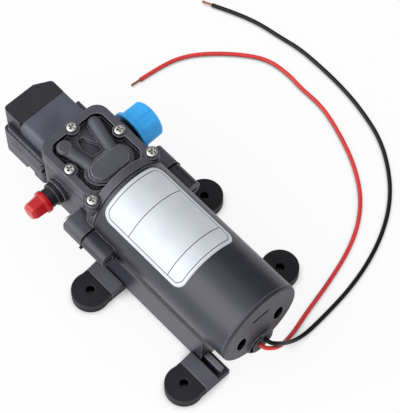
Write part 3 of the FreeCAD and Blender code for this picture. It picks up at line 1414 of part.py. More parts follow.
def foot(x, side):
    """Rubber foot: a round lobe with a screw hole, a tongue and a key for the housing slot."""
    lobe = rod_z(0, foot_t, foot_lobe_r, x, foot_hole_y * side)
    tongue = box(x - foot_block_half_x, x + foot_block_half_x, foot_tongue_y * side,
                 (skirt_foot_y + touch_gap) * side, 0, foot_tongue_t)
    y0 = (skirt_foot_y + touch_gap) * side
    y1 = foot_block_y * side
    wedge = outline([(x - foot_block_half_x, y0, 0), (x - foot_block_half_x, y0, foot_block_top_z),
                     (x - foot_block_half_x, y1, foot_t), (x - foot_block_half_x,
                     foot_hole_y * side, foot_t), (x - foot_block_half_x, foot_hole_y * side, 0)],
                    (2 * foot_block_half_x, 0, 0))
    y = key_neck_y * side
    neck = box(x - foot_key_half_x, x + foot_key_half_x, y - key_neck_half, y + key_neck_half,
               foot_tongue_t - 0.1, key_neck_top_z + touch_gap)
    head_z = key_neck_top_z + touch_gap
    key = box(x - foot_key_half_x, x + foot_key_half_x, y - key_head_half, y + key_head_half,
              head_z, head_z + key_head_t)
    body = lobe.fuse([tongue, wedge, neck, key]).removeSplitter()
    return body.cut(rod_z(-1, foot_t + 1, foot_hole_r, x, foot_hole_y * side))


def label():
    """Thin sticker round the upper side of the housing, its corners rounded."""
    x0, x1 = label_x0, label_x1
    ring = ring_x(x0, x1, shell_r + label_t, shell_r)
    left, right = math.radians(label_left), math.radians(label_right)
    reach = 2 * shell_r
    wedge = outline([(x0 - 1, 0, axis_z), (x0 - 1, -reach * math.tan(left), axis_z + reach),
                     (x0 - 1, reach * math.tan(right), axis_z + reach)], (x1 - x0 + 2, 0, 0))
    corners = []
    inward = math.degrees(label_corner / shell_r)
    for x, along in ((x0, 1), (x1, -1)):
        for angle, side in ((label_left - inward, -1), (inward - label_right, 1)):
            centre_x = x + label_corner * along
            corner = box(x - along, centre_x, 0, (label_corner + 2) * side,
                         axis_z + shell_r - 3, axis_z + shell_r + 1)
            corner = corner.cut(rod_z(axis_z, axis_z + shell_r + 2, label_corner, centre_x, 0))
            corner.rotate(V(0, 0, axis_z), V(1, 0, 0), angle)
            corners.append(corner)
    return ring.common(wedge).cut(corners)


def tube(points, r, bend=1e9):
    """Round tube along straight runs joined by tangent arcs, as wide as the runs allow or as
    the given bend radius.

    Prints the arcs' least radius and compares the volume with section times length."""
    p = [V(*q) for q in points]
    edges, length, least = [], 0.0, 1e9
    start = p[0]
    for a, b, c in zip(p, p[1:], p[2:]):
        u, w = (b - a).normalize(), (c - b).normalize()
        turn = u.getAngle(w)
        reach = 0.45 * min(a.distanceToPoint(b), b.distanceToPoint(c))
        reach = min(reach, bend * math.tan(turn / 2))
        radius = reach / math.tan(turn / 2)
        least = min(least, radius)
        into, out = b - u * reach, b + w * reach
        centre = b + (w - u).normalize() * (reach / math.sin(turn / 2))
        middle = centre + (b - centre).normalize() * radius
        edges.append(Part.LineSegment(start, into).toShape())
        edges.append(Part.Arc(into, middle, out).toShape())
        start = out
    edges.append(Part.LineSegment(start, p[-1]).toShape())
    path = Part.Wire(edges)
    length = path.Length
    section = Part.Wire([Part.Circle(p[0], p[1] - p[0], r).toShape()])
    solid = path.makePipeShell([section], True, False)
    ratio = solid.Volume / (math.pi * r * r * length)
    print(f"  tube: length {length:.1f}, least radius {least:.1f}, volume ratio {ratio:.4f}")
    return solid


def inner_lead(points, side):
    """Thin wire behind the grommet, with the end of the lead's thick sheath in the grommet."""
    sheath = rod_x(sheath_end_x, exit_x, lead_r, lead_side * side, lead_exit_z)
    return joined(sheath, tube(points, wire_r, wire_bend))


def lead_end(points):
    """Bare copper strands at the end of a lead, in line with its last run."""
    a, b = V(*points[-2]), V(*points[-1])
    return Part.makeCylinder(bare_r, bare_length, b, b - a)


# Routes of the leads on the ground, chosen by hand, from the point where they leave the boss
lead_z = lead_r
exit_x = cap_face_x + boss_proud
red_run = [
    (0.0, -lead_side, lead_exit_z), (2.8, -lead_side, lead_exit_z), (4.9, 0.5, 17.9),
    (5.4, 4.3, 13.7), (4.7, 8.8, 8.4), (3.1, 14.6, 3.6), (1.7, 20.8, lead_z),
    (-1.5, 33.0, lead_z),
    (-5.5, 52.0, lead_z), (-11.4, 72.3, lead_z), (-19.0, 87.2, lead_z), (-29.2, 99.0, lead_z),
    (-42.4, 108.0, lead_z), (-56.0, 114.3, lead_z), (-72.3, 119.7, lead_z), (-83.1, 121.7, lead_z),
    (-95.7, 121.4, lead_z), (-105.6, 122.6, lead_z), (-119.0, 121.4, lead_z),
    (-129.7, 115.2, lead_z), (-142.6, 103.3, lead_z), (-152.5, 90.0, lead_z),
    (-156.3, 76.0, lead_z), (-157.4, 62.8, lead_z),
]
black_run = [
    (0.0, lead_side, lead_exit_z), (2.8, lead_side, lead_exit_z), (5.0, 4.3, 17.9),
    (6.0, 8.2, 13.7), (6.3, 13.2, 8.0), (6.4, 19.0, 3.2), (6.5, 26.0, lead_z),
    (5.6, 41.9, lead_z),
    (4.0, 57.4, lead_z), (0.3, 74.0, lead_z), (-5.9, 90.4, lead_z), (-15.1, 105.7, lead_z),
    (-27.3, 118.2, lead_z), (-44.9, 129.7, lead_z), (-65.9, 135.5, lead_z), (-83.0, 137.8, lead_z),
    (-98.6, 138.4, lead_z), (-113.5, 138.2, lead_z), (-126.2, 135.7, lead_z),
    (-139.5, 133.6, lead_z), (-153.1, 129.2, lead_z), (-166.1, 123.2, lead_z),
]

red_route = [(exit_x + x, y, z) for x, y, z in red_run]
black_route = [(exit_x + x, y, z) for x, y, z in black_run]

# Wires inside the pump
terminal_x = can_rear_x + tab_length - 2.0
micro_rear_z = (micro_z0 + micro_z1) / 2
red_inner = [
    (sheath_end_x + 1, -lead_side, lead_exit_z), (sheath_end_x - 2.2, -lead_side, lead_exit_z),
    (sheath_end_x - 3.8, 4.6, lead_exit_z - 2.2), (sheath_end_x - 6.6, slot_y, lead_exit_z - 2.1),
    (wire_rise_x - 1.4, slot_y, lead_exit_z - 2.1), (wire_rise_x - 2.4, slot_y, wire_z),
    (wire_drop_x, slot_y, wire_z), (wire_drop_x, slot_y, micro_rear_z + 1.2),
    (wire_drop_x, 2.0, micro_rear_z + 1.2),
]
switch_wire = [
    (wire_drop_x, 2.0, micro_rear_z - 1.2), (wire_drop_x, wire_y, micro_rear_z - 1.2),
    (wire_drop_x, wire_y, wire_z), (wire_rise_x, wire_y, wire_z), (wire_rise_x, wire_y, axis_z),
    (terminal_x, wire_y, axis_z),
]
black_inner = [
    (sheath_end_x + 1, lead_side, lead_exit_z), (sheath_end_x - 1.7, lead_side, lead_exit_z),
    (sheath_end_x - 5.2, 0.5, axis_z - 9.8), (sheath_end_x - 7.2, -8.0, axis_z - 3.8),
    (sheath_end_x - 9.2, -wire_y, axis_z), (terminal_x, -wire_y, axis_z),
]


def build():
    """Writes every node, in the order in which the pump goes together."""
    save("motor_housing", motor_housing())
    save("motor_can", motor_can())
    save("motor_magnets", magnet_arc(1), magnet_arc(-1))
    save("front_bearing", ring_x(case_rear_x - front_boss_length + can_wall * 0.6,
                                 case_rear_x - front_boss_length + can_wall * 0.6 + bearing_w,
                                 bearing_r, shaft_r + running))
    save("motor_end_bell", motor_end_bell())
    save("rear_bush", ring_x(can_rear_x - end_bell_t, can_rear_x + rear_boss_length - 1.0,
                             bush_r, shaft_r + running))
    save("brush_card", brush_card())
    save("brushes", *brushes())
    save("brush_springs", *brush_springs())
    save("motor_terminals", *motor_terminals())
    save("motor_shaft", motor_shaft())
    save("armature_core", armature_core())
    save("armature_windings", armature_windings())
    save("commutator", commutator())
    save("cooling_fan", cooling_fan())
    save("motor_end_cap", motor_end_cap())
    save("lead_grommet", lead_grommet())
    save("label", label())
    save("housing_gasket", housing_gasket())

    save("crankcase", crankcase())
    save("ear_screws", *ear_screws())
    save("eccentric", eccentric())
    save("eccentric_grub_screw", eccentric_grub_screw())
    save("counterweight", counterweight())
    save("crank_bearing", crank_bearing())
    save("connecting_rod", connecting_rod())
    save("diaphragm", diaphragm())
    save("piston_plate", piston_plate())
    save("piston_screw", piston_screw())
    save("valve_plate", valve_plate())
    save("inlet_valve", valve_disc(valve_y, inlet_valve_z))
    save("outlet_valve", valve_disc(-valve_y, outlet_valve_z))
    save("inlet_valve_seat", inlet_valve_seat())
    save("head_cover", head_cover())
    save("head_screws", *head_screws())

    save("outlet_fitting", outlet_fitting())
    save("inlet_fitting", inlet_fitting())
    save("port_seal_rings", seal_ring(1), seal_ring(-1))
    save("inlet_cap", inlet_cap())
    save("outlet_cap", outlet_cap())

    save("switch_water_block", switch_water_block())
    save("switch_diaphragm", rod_z(sense_z1, sense_z1 + sheet_t, sheet_r, sense_x, 0))
    save("switch_plunger", switch_plunger())
    save("switch_spring", switch_spring())
    save("switch_base", switch_base())
    save("microswitch", microswitch())
    save("switch_cover", switch_cover())
    save("switch_front_cap", switch_front_cap())
    save("switch_screws", *switch_screws())
    save("switch_mount_screws", *switch_mount_screws())

    save("foot_front_left", foot(foot_front_x, -1))
    save("foot_front_right", foot(foot_front_x, 1))
    save("foot_rear_left", foot(foot_rear_left_x, -1))
    save("foot_rear_right", foot(foot_rear_right_x, 1))

    save("inner_leads_red", inner_lead(red_inner, -1), tube(switch_wire, wire_r, wire_bend))
    save("inner_lead_black", inner_lead(black_inner, 1))
    save("lead_red", tube(red_route, lead_r))
    save("lead_black", tube(black_route, lead_r))
    save("lead_ends", lead_end(red_route), lead_end(black_route))


build()
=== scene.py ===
"""Dressed model of a 12 V diaphragm water pump on four rubber feet, with two bare-ended leads."""
import math

import bpy
import bmesh
import numpy as np
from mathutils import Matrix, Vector


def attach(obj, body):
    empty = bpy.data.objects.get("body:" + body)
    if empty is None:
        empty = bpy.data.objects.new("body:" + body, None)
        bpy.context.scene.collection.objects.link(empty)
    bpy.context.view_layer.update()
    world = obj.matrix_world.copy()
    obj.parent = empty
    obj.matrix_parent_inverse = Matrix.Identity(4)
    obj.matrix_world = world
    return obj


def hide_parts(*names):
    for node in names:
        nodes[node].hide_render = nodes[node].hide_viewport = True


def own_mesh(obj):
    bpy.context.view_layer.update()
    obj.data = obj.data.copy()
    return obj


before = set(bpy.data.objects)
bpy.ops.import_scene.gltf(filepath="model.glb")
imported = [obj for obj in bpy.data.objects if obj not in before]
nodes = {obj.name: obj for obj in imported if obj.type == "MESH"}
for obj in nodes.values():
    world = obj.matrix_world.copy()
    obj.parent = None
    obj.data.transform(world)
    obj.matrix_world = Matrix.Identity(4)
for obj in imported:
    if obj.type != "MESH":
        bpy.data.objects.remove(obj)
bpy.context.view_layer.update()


# ---------------------------------------------------------------- motor housing
# A one-piece sleeve with a skirt and two ears, moulded in glass-filled charcoal nylon.
# The mould is spark-eroded, so the skin has a fine even grain, and its corners are eased.
def add_group(name, inputs, outputs):
    """Empty shader node group, with inputs as (name, type, default) and outputs as (name, type),
    and the sockets inside it that give its inputs and take its outputs."""
    group = bpy.data.node_groups.new(name, "ShaderNodeTree")
    for label, kind, value in inputs:
        socket = group.interface.new_socket(label, in_out="INPUT", socket_type=kind)
        if value is not None:
            socket.default_value = value
    for label, kind in outputs:
        group.interface.new_socket(label, in_out="OUTPUT", socket_type=kind)
    given = group.nodes.new("NodeGroupInput").outputs
    made = group.nodes.new("NodeGroupOutput").inputs
    return group, given, made


def add_node(tree, kind, sockets=None, **settings):
    """New node with its settings, and its input sockets set to a value or linked to an output."""
    node = tree.nodes.new(kind)
    for key, value in settings.items():
        setattr(node, key, value)
    for key, value in (sockets or {}).items():
        if isinstance(value, bpy.types.NodeSocket):
            tree.links.new(value, node.inputs[key])
        else:
            node.inputs[key].default_value = value
    return node


def ink(red, green, blue):
    """Linear colour of a display colour that is given in 0 to 255."""
    parts = np.array([red, green, blue]) / 255
    linear = np.where(parts <= 0.04045, parts / 12.92, ((parts + 0.055) / 1.055) ** 2.4)
    return (*linear.tolist(), 1.0)


def calc(tree, operation, *values):
    """Output of a math node on those numbers or outputs."""
    node = add_node(tree, "ShaderNodeMath", dict(enumerate(values)), operation=operation)
    return node.outputs[0]


def calc_vector(tree, operation, *values, output=0):
    """Output of a vector math node on those vectors or outputs."""
    node = add_node(tree, "ShaderNodeVectorMath", dict(enumerate(values)), operation=operation)
    return node.outputs[output]


def scaled(tree, colour, share):
    """Output with a colour times a share."""
    node = add_node(tree, "ShaderNodeVectorMath", {0: colour, "Scale": share}, operation="SCALE")
    return node.outputs[0]


def remap(tree, value, low, high, to_low, to_high, **settings):
    """Output that runs from to_low to to_high while the value runs from low to high."""
    node = add_node(tree, "ShaderNodeMapRange",
                    dict(enumerate((value, low, high, to_low, to_high))), **settings)
    return node.outputs[0]


def blend(tree, share, first, second):
    """Output with the first colour where the share is 0 and the second where it is 1."""
    node = add_node(tree, "ShaderNodeMix", {"Factor": share, 6: first, 7: second},
                    data_type="RGBA")
    return node.outputs[2]


def noise(tree, vector, scale, detail):
    """Output with cloudy noise from 0 to 1, at that many features per metre."""
    node = add_node(tree, "ShaderNodeTexNoise",
                    {"Vector": vector, "Scale": scale, "Detail": detail})
    return node.outputs[0]


def local_place(tree):
    """Output with the place in the piece's own coordinates, in metres."""
    return add_node(tree, "ShaderNodeTexCoord").outputs["Object"]


def eased_edges_group():
    """Normal of the surface with its corners rounded off, and a mask of where they are."""
    group, given, made = add_group("eased edges", [("Radius", "NodeSocketFloat", 0.0004)],
                                   [("Normal", "NodeSocketVector"), ("Edge", "NodeSocketFloat")])
    eased = add_node(group, "ShaderNodeBevel", {"Radius": given["Radius"]}, samples=6).outputs[0]
    flat = add_node(group, "ShaderNodeNewGeometry").outputs["Normal"]
    turn = calc_vector(group, "DOT_PRODUCT", eased, flat, output="Value")
    edge = remap(group, turn, 0.99, 0.80, 0.0, 1.0, interpolation_type="SMOOTHSTEP")
    group.links.new(eased, made["Normal"])
    group.links.new(edge, made["Edge"])
    return group


def moulded_skin_group():
    """Grained moulding: its cloudy tone, with painted shade in its crevices and a lighter colour
    on its edges that is partly rubbed wear and partly painted highlight, its uneven roughness,
    the height of its grain, and its gloss, which fades in the crevices as painted shade."""
    group, given, made = add_group(
        "moulded skin",
        [("Colour", "NodeSocketColor", None), ("Rubbed and highlit", "NodeSocketColor", None),
         ("Edge", "NodeSocketFloat", 0.0), ("Edge wear and highlight", "NodeSocketFloat", 0.4),
         ("Cloud", "NodeSocketFloat", 0.12), ("Crevice shade", "NodeSocketFloat", 0.08),
         ("Grain scale", "NodeSocketFloat", 2600.0),
         ("Roughness", "NodeSocketFloat", 0.45), ("Gloss", "NodeSocketFloat", 0.5)],
        [("Colour", "NodeSocketColor"), ("Roughness", "NodeSocketFloat"),
         ("Height", "NodeSocketFloat"), ("Gloss", "NodeSocketFloat")])
    place = local_place(group)
    cloud, fleck = noise(group, place, 70.0, 4.0), noise(group, place, 900.0, 3.0)
    grain = add_node(group, "ShaderNodeTexVoronoi",
                     {"Vector": place, "Scale": given["Grain scale"]}, feature="SMOOTH_F1")
    low, high = (calc(group, change, 1.0, given["Cloud"]) for change in ("SUBTRACT", "ADD"))
    tone = remap(group, cloud, 0.3, 0.7, low, high)
    # Painted shade: the colour and the gloss darken where nearby faces hem the surface in.
    nook = add_node(group, "ShaderNodeAmbientOcclusion", {"Distance": 0.005}, samples=6)
    shade = remap(group, nook.outputs["AO"], 0.35, 0.9, given["Crevice shade"], 1.0)
    toned = scaled(group, scaled(group, given["Colour"], tone), shade)
    # The eased edges take the second colour: partly rubbed wear, partly painted highlight.
    patchy = remap(group, fleck, 0.35, 0.6, 0.35, 1.0)
    worn_and_highlit = calc(group, "MULTIPLY", given["Edge"], patchy)
    worn_and_highlit = calc(group, "MULTIPLY", worn_and_highlit, given["Edge wear and highlight"])
    uneven = remap(group, fleck, 0.3, 0.7, -0.05, 0.05)
    for key, output in (("Colour", blend(group, worn_and_highlit, toned, given["Rubbed and highlit"])),
                        ("Roughness", calc(group, "ADD", uneven, given["Roughness"])),
                        ("Height", grain.outputs["Distance"]),
                        ("Gloss", calc(group, "MULTIPLY", shade, given["Gloss"]))):
        group.links.new(output, made[key])
    return group


eased_edges = eased_edges_group()
moulded_skin = moulded_skin_group()


def new_material(name):
    """A new material, its node tree and its surface shader."""
    material = bpy.data.materials.new(name)
    material.use_nodes = True
    return material, material.node_tree, material.node_tree.nodes["Principled BSDF"]


def moulded(name, colour, rubbed_and_highlit, rough, wear_and_highlight=0.4, cloud=0.12, crevice_shade=0.08, gloss=0.5,
            grain=2600.0, depth=0.00002, ease=0.0004, **shader):
    """Material of a grained plastic or rubber moulding, from the two groups above, with painted
    shade in its crevices and edges lighter from rubbed wear and painted highlight.
    """
    material, tree, skin = new_material(name)
    corners = add_node(tree, "ShaderNodeGroup", {"Radius": ease}, node_tree=eased_edges)
    finish = add_node(tree, "ShaderNodeGroup", {
        "Colour": colour, "Rubbed and highlit": rubbed_and_highlit, "Edge": corners.outputs["Edge"], "Edge wear and highlight": wear_and_highlight,
        "Cloud": cloud, "Crevice shade": crevice_shade, "Grain scale": grain, "Roughness": rough,
        "Gloss": gloss}, node_tree=moulded_skin)
    bump = add_node(tree, "ShaderNodeBump", {"Height": finish.outputs["Height"], "Strength": 0.6,
                                             "Distance": depth, "Normal": corners.outputs[0]})
    tree.links.new(finish.outputs["Colour"], skin.inputs["Base Color"])
    tree.links.new(finish.outputs["Roughness"], skin.inputs["Roughness"])
    tree.links.new(finish.outputs["Gloss"], skin.inputs["Specular IOR Level"])
    tree.links.new(bump.outputs[0], skin.inputs["Normal"])
    for key, value in shader.items():
        skin.inputs[key.replace("_", " ")].default_value = value
    return material


def dress(material, *names):
    """Gives a material to CAD nodes, which keep their own meshes."""
    for name in names:
        slots = nodes[name].data.materials
        slots.clear()
        slots.append(material)


# The second colour is for the sleeve's eased edges: rubbed wear and painted highlight.
housing_tone, housing_rubbed_and_highlit = ink(45, 45, 57), ink(150, 151, 163)
sleeve_nylon = moulded("satin charcoal nylon", housing_tone, housing_rubbed_and_highlit, 0.36, wear_and_highlight=1.0,
                       ease=0.0007)
dress(sleeve_nylon, "motor_housing")


# ---------------------------------------------------------------- motor end cap
# Round cap pressed into the rear of the sleeve, of the same nylon, with two cooling holes, a
# slot and a boss. A soft black grommet fills the boss and lets the two leads out.
sleeve_z, cap_face_x, face_skin, cap_rim_r = 0.0348, 0.0841, 0.00004, 0.0215


def axes(tree, vector):
    """Outputs X, Y and Z of a vector."""
    return add_node(tree, "ShaderNodeSeparateXYZ", {0: vector}).outputs


def finish_of(material):
    """Node that makes the colour of a moulding."""
    return next(node for node in material.node_tree.nodes
                if node.type == "GROUP" and "Rubbed and highlit" in node.inputs)


def recolour(material, mask, colour):
    """Gives the masked places of a moulding another colour, on its rubbed and highlit edges too.
    """
    tree, finish = material.node_tree, finish_of(material)
    for key in ("Colour", "Rubbed and highlit"):
        plain = tuple(finish.inputs[key].default_value)
        tree.links.new(blend(tree, mask, plain, colour), finish.inputs[key])


cap_nylon = moulded("end cap nylon, painted shade inside", housing_tone, housing_rubbed_and_highlit, 0.46, wear_and_highlight=1.0,
                    ease=0.0007)
tree = cap_nylon.node_tree
place = local_place(tree)
# Painted shade: inside the rim, behind the face, the cap is coloured near black.
behind_face = calc(tree, "LESS_THAN", axes(tree, place)["X"], cap_face_x - face_skin)
off_axis = calc_vector(tree, "DISTANCE", calc_vector(tree, "MULTIPLY", place, (0, 1, 1)),
                       (0, 0, sleeve_z), output="Value")
within_rim = calc(tree, "LESS_THAN", off_axis, cap_rim_r)
recolour(cap_nylon, calc(tree, "MULTIPLY", behind_face, within_rim), ink(6, 6, 8))
dress(cap_nylon, "motor_end_cap")
grommet_rubber = moulded("grommet rubber", ink(30, 30, 33), ink(70, 70, 74), 0.6, wear_and_highlight=0.2,
                         grain=1800.0)
dress(grommet_rubber, "lead_grommet")


# ---------------------------------------------------------------- motor inside the sleeve
# Two-pole brushed motor: a drawn steel can with two arc magnets, a laminated armature wound
# with enamelled copper, a turned commutator, and a brush card behind it.
def drawn_metal_group():
    """Bright metal with fine lines along one axis and painted shade in its recesses: its tone,
    its roughness and its height."""
    group, given, made = add_group(
        "drawn metal",
        [("Colour", "NodeSocketColor", None), ("Lines", "NodeSocketVector", (1.0, 1.0, 1.0)),
         ("Roughness", "NodeSocketFloat", 0.3), ("Tarnish", "NodeSocketFloat", 0.2)],
        [("Colour", "NodeSocketColor"), ("Roughness", "NodeSocketFloat"),
         ("Height", "NodeSocketFloat")])
    place = local_place(group)
    drawn = calc_vector(group, "MULTIPLY", place, given["Lines"])
    lines, spots = noise(group, drawn, 900.0, 3.0), noise(group, place, 260.0, 5.0)
    least = calc(group, "SUBTRACT", 1.0, given["Tarnish"])
    tone = remap(group, spots, 0.35, 0.65, least, 1.0)
    # Painted shade: the colour darkens to near black in recesses, such as the screws' crosses.
    nook = add_node(group, "ShaderNodeAmbientOcclusion", {"Distance": 0.0012}, samples=6)
    shade = remap(group, nook.outputs["AO"], 0.4, 0.9, 0.06, 1.0)
    uneven = remap(group, lines, 0.3, 0.7, -0.08, 0.08)
    for key, output in (("Colour", scaled(group, scaled(group, given["Colour"], tone), shade)),
                        ("Roughness", calc(group, "ADD", uneven, given["Roughness"])),
                        ("Height", lines)):
        group.links.new(output, made[key])
    return group


drawn_metal = drawn_metal_group()


def metal(name, colour, rough, lines=(1.0, 1.0, 1.0), tarnish=0.2, depth=0.00001, ease=0.0002):
    """Material of a bare or plated metal piece. Its drawn lines run along the axis with the
    small number in lines."""
    material, tree, skin = new_material(name)
    skin.inputs["Metallic"].default_value = 1.0
    corners = add_node(tree, "ShaderNodeGroup", {"Radius": ease}, node_tree=eased_edges)
    finish = add_node(tree, "ShaderNodeGroup", {
        "Colour": colour, "Lines": lines, "Roughness": rough, "Tarnish": tarnish},
        node_tree=drawn_metal)
    bump = add_node(tree, "ShaderNodeBump", {"Height": finish.outputs["Height"], "Strength": 0.5,
                                             "Distance": depth, "Normal": corners.outputs[0]})
    tree.links.new(finish.outputs["Colour"], skin.inputs["Base Color"])
    tree.links.new(finish.outputs["Roughness"], skin.inputs["Roughness"])
    tree.links.new(bump.outputs[0], skin.inputs["Normal"])
    return material


def banded(name, dark, light, scale, axis, rough, metallic, depth=0.00005):
    """Material with even bands along one axis, as on wound wire or a stack of thin sheets."""
    material, tree, skin = new_material(name)
    bands = add_node(tree, "ShaderNodeTexWave", {
        "Vector": local_place(tree), "Scale": scale, "Distortion": 0.6, "Detail": 2.0},
        wave_type="BANDS", bands_direction=axis).outputs["Fac"]
    bump = add_node(tree, "ShaderNodeBump", {"Height": bands, "Strength": 0.8,
                                             "Distance": depth})
    tree.links.new(blend(tree, bands, dark, light), skin.inputs["Base Color"])
    tree.links.new(bump.outputs[0], skin.inputs["Normal"])
    skin.inputs["Roughness"].default_value = rough
    skin.inputs["Metallic"].default_value = metallic
    return material


can_steel = metal("zinc plated steel", ink(176, 178, 180), 0.35, lines=(0.05, 1.0, 1.0))
shaft_steel = metal("ground steel", ink(190, 190, 192), 0.22, lines=(1.0, 0.1, 0.1))
terminal_brass = metal("terminal brass", ink(205, 170, 95), 0.3)
turned_copper = metal("turned copper", ink(200, 120, 82), 0.25, lines=(1.0, 0.05, 0.05))
ferrite = moulded("magnet ferrite", ink(58, 57, 58), ink(88, 87, 86), 0.7, wear_and_highlight=0.3, cloud=0.2)
carbon = moulded("brush carbon", ink(46, 45, 47), ink(84, 83, 84), 0.5, wear_and_highlight=0.3, cloud=0.2)
motor_plastic = moulded("motor nylon", ink(206, 202, 190), ink(225, 222, 214), 0.5)
sheet_stack = banded("stacked core sheets", ink(70, 70, 74), ink(125, 126, 130), 300.0, "X", 0.4,
                     metallic=0.8)
wound_copper = banded("wound copper wire", ink(110, 48, 24), ink(205, 112, 62), 330.0, "Y", 0.3,
                      metallic=0.6)
dress(can_steel, "motor_can", "front_bearing")
dress(shaft_steel, "motor_shaft", "brush_springs")
dress(terminal_brass, "motor_terminals", "rear_bush")
dress(turned_copper, "commutator")
dress(ferrite, "motor_magnets")
dress(carbon, "brushes")
dress(motor_plastic, "motor_end_bell", "brush_card", "cooling_fan")
dress(sheet_stack, "armature_core")
dress(wound_copper, "armature_windings")


# ---------------------------------------------------------------- crankcase and gaskets
# Block in front of the housing with the two port bosses, moulded in a more matt and grainy
# charcoal nylon. A black rubber gasket seals it against the housing, and rings the fittings.
charcoal = moulded("charcoal nylon", ink(72, 72, 82), ink(172, 173, 184), 0.5, wear_and_highlight=1.0,
                   cloud=0.18, ease=0.0007)
seal_rubber = moulded("seal rubber", ink(16, 16, 18), ink(40, 40, 42), 0.6, wear_and_highlight=0.2,
                      grain=1800.0, gloss=0.3)
dress(charcoal, "crankcase")
dress(seal_rubber, "housing_gasket", "port_seal_rings")


# ---------------------------------------------------------------- crank drive
# A turned steel eccentric is clamped on the motor shaft by a grub screw, beside a brass
# counterweight. Its ball bearing sits in an acetal rod, which lifts the diaphragm's middle.
acetal = moulded("white acetal", ink(222, 221, 214), ink(236, 236, 232), 0.4, wear_and_highlight=0.1)
die_cast = metal("die-cast aluminium", ink(168, 170, 172), 0.42, tarnish=0.3)
black_steel = metal("blackened steel", ink(62, 62, 64), 0.4)
dress(shaft_steel, "eccentric", "crank_bearing")
dress(black_steel, "eccentric_grub_screw")
dress(terminal_brass, "counterweight")
dress(acetal, "connecting_rod")
dress(die_cast, "piston_plate")
dress(can_steel, "piston_screw")


# ---------------------------------------------------------------- diaphragm and valves
# The black rubber diaphragm and the charcoal valve plate are clamped under the cover, and
# their edges show as thin lines round the head. The valve discs are soft rubber.
dress(seal_rubber, "diaphragm", "inlet_valve", "outlet_valve")
dress(charcoal, "valve_plate")
dress(acetal, "inlet_valve_seat")


# ---------------------------------------------------------------- head cover
# Cover with the moulded dome, the two ducts and the knob inside its raised rim, of the
# charcoal nylon, held by five screws.
dress(charcoal, "head_cover")


# ---------------------------------------------------------------- head and ear screws
# Nickel-plated steel pan-head screws with a cross recess: five clamp the cover through the
# valve plate and the diaphragm, and two join the crankcase's ears to the housing's.
head_screw_places = [(-0.0492, 0.0), (-0.0322, 0.0161), (-0.0322, -0.0161), (-0.0123, 0.0192),
                     (-0.0123, -0.0192)]
head_screw_turns = [0.35, 1.1, 0.2, 0.75, 1.3]
cover_rim_z, ear_face_x, ear_screw_y, ear_screw_z = 0.052, -0.0207, 0.0279, 0.0294
thread_pitch, thread_depth, thread_rings = 0.0008, 0.00018, 90
cover_screw = {"head_r": 0.00275, "head_h": 0.0015, "shank_r": 0.0015, "length": 0.016}
ear_screw = {"head_r": 0.0036, "head_h": 0.0022, "shank_r": 0.002, "length": 0.0237}


def skinned(name, patches, body, material, replaced, sharp=35.0):
    """One piece from grids of points. In a grid, point (i, j) makes a four-sided face with
    (i + 1, j), (i + 1, j + 1) and (i, j + 1), and its columns run round if it is wrapped. Grids
    that meet are joined there, and an edge sharper than the angle stays sharp."""
    points, faces, start = [], [], 0
    for grid, wrapped in patches:
        rows, cols = grid.shape[:2]
        i, j = np.meshgrid(np.arange(rows - 1), np.arange(cols if wrapped else cols - 1),
                           indexing="ij")
        after = (j + 1) % cols
        corners = [i * cols + j, (i + 1) * cols + j, (i + 1) * cols + after, i * cols + after]
        faces.append(start + np.stack(corners, -1).reshape(-1, 4))
        points.append(grid.reshape(-1, 3))
        start += rows * cols
    mesh = bpy.data.meshes.new(name)
    mesh.from_pydata(np.concatenate(points).tolist(), [], np.concatenate(faces).tolist())
    joined = bmesh.new()
    joined.from_mesh(mesh)
    bmesh.ops.remove_doubles(joined, verts=joined.verts, dist=2e-6)
    bmesh.ops.recalc_face_normals(joined, faces=joined.faces)
    joined.to_mesh(mesh)
    joined.free()
    mesh.shade_smooth()
    mesh.set_sharp_from_angle(angle=math.radians(sharp))
    piece = bpy.data.objects.new(name, mesh)
    bpy.context.scene.collection.objects.link(piece)
    mesh.materials.append(material)
    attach(piece, body)
    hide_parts(*replaced)
    return piece


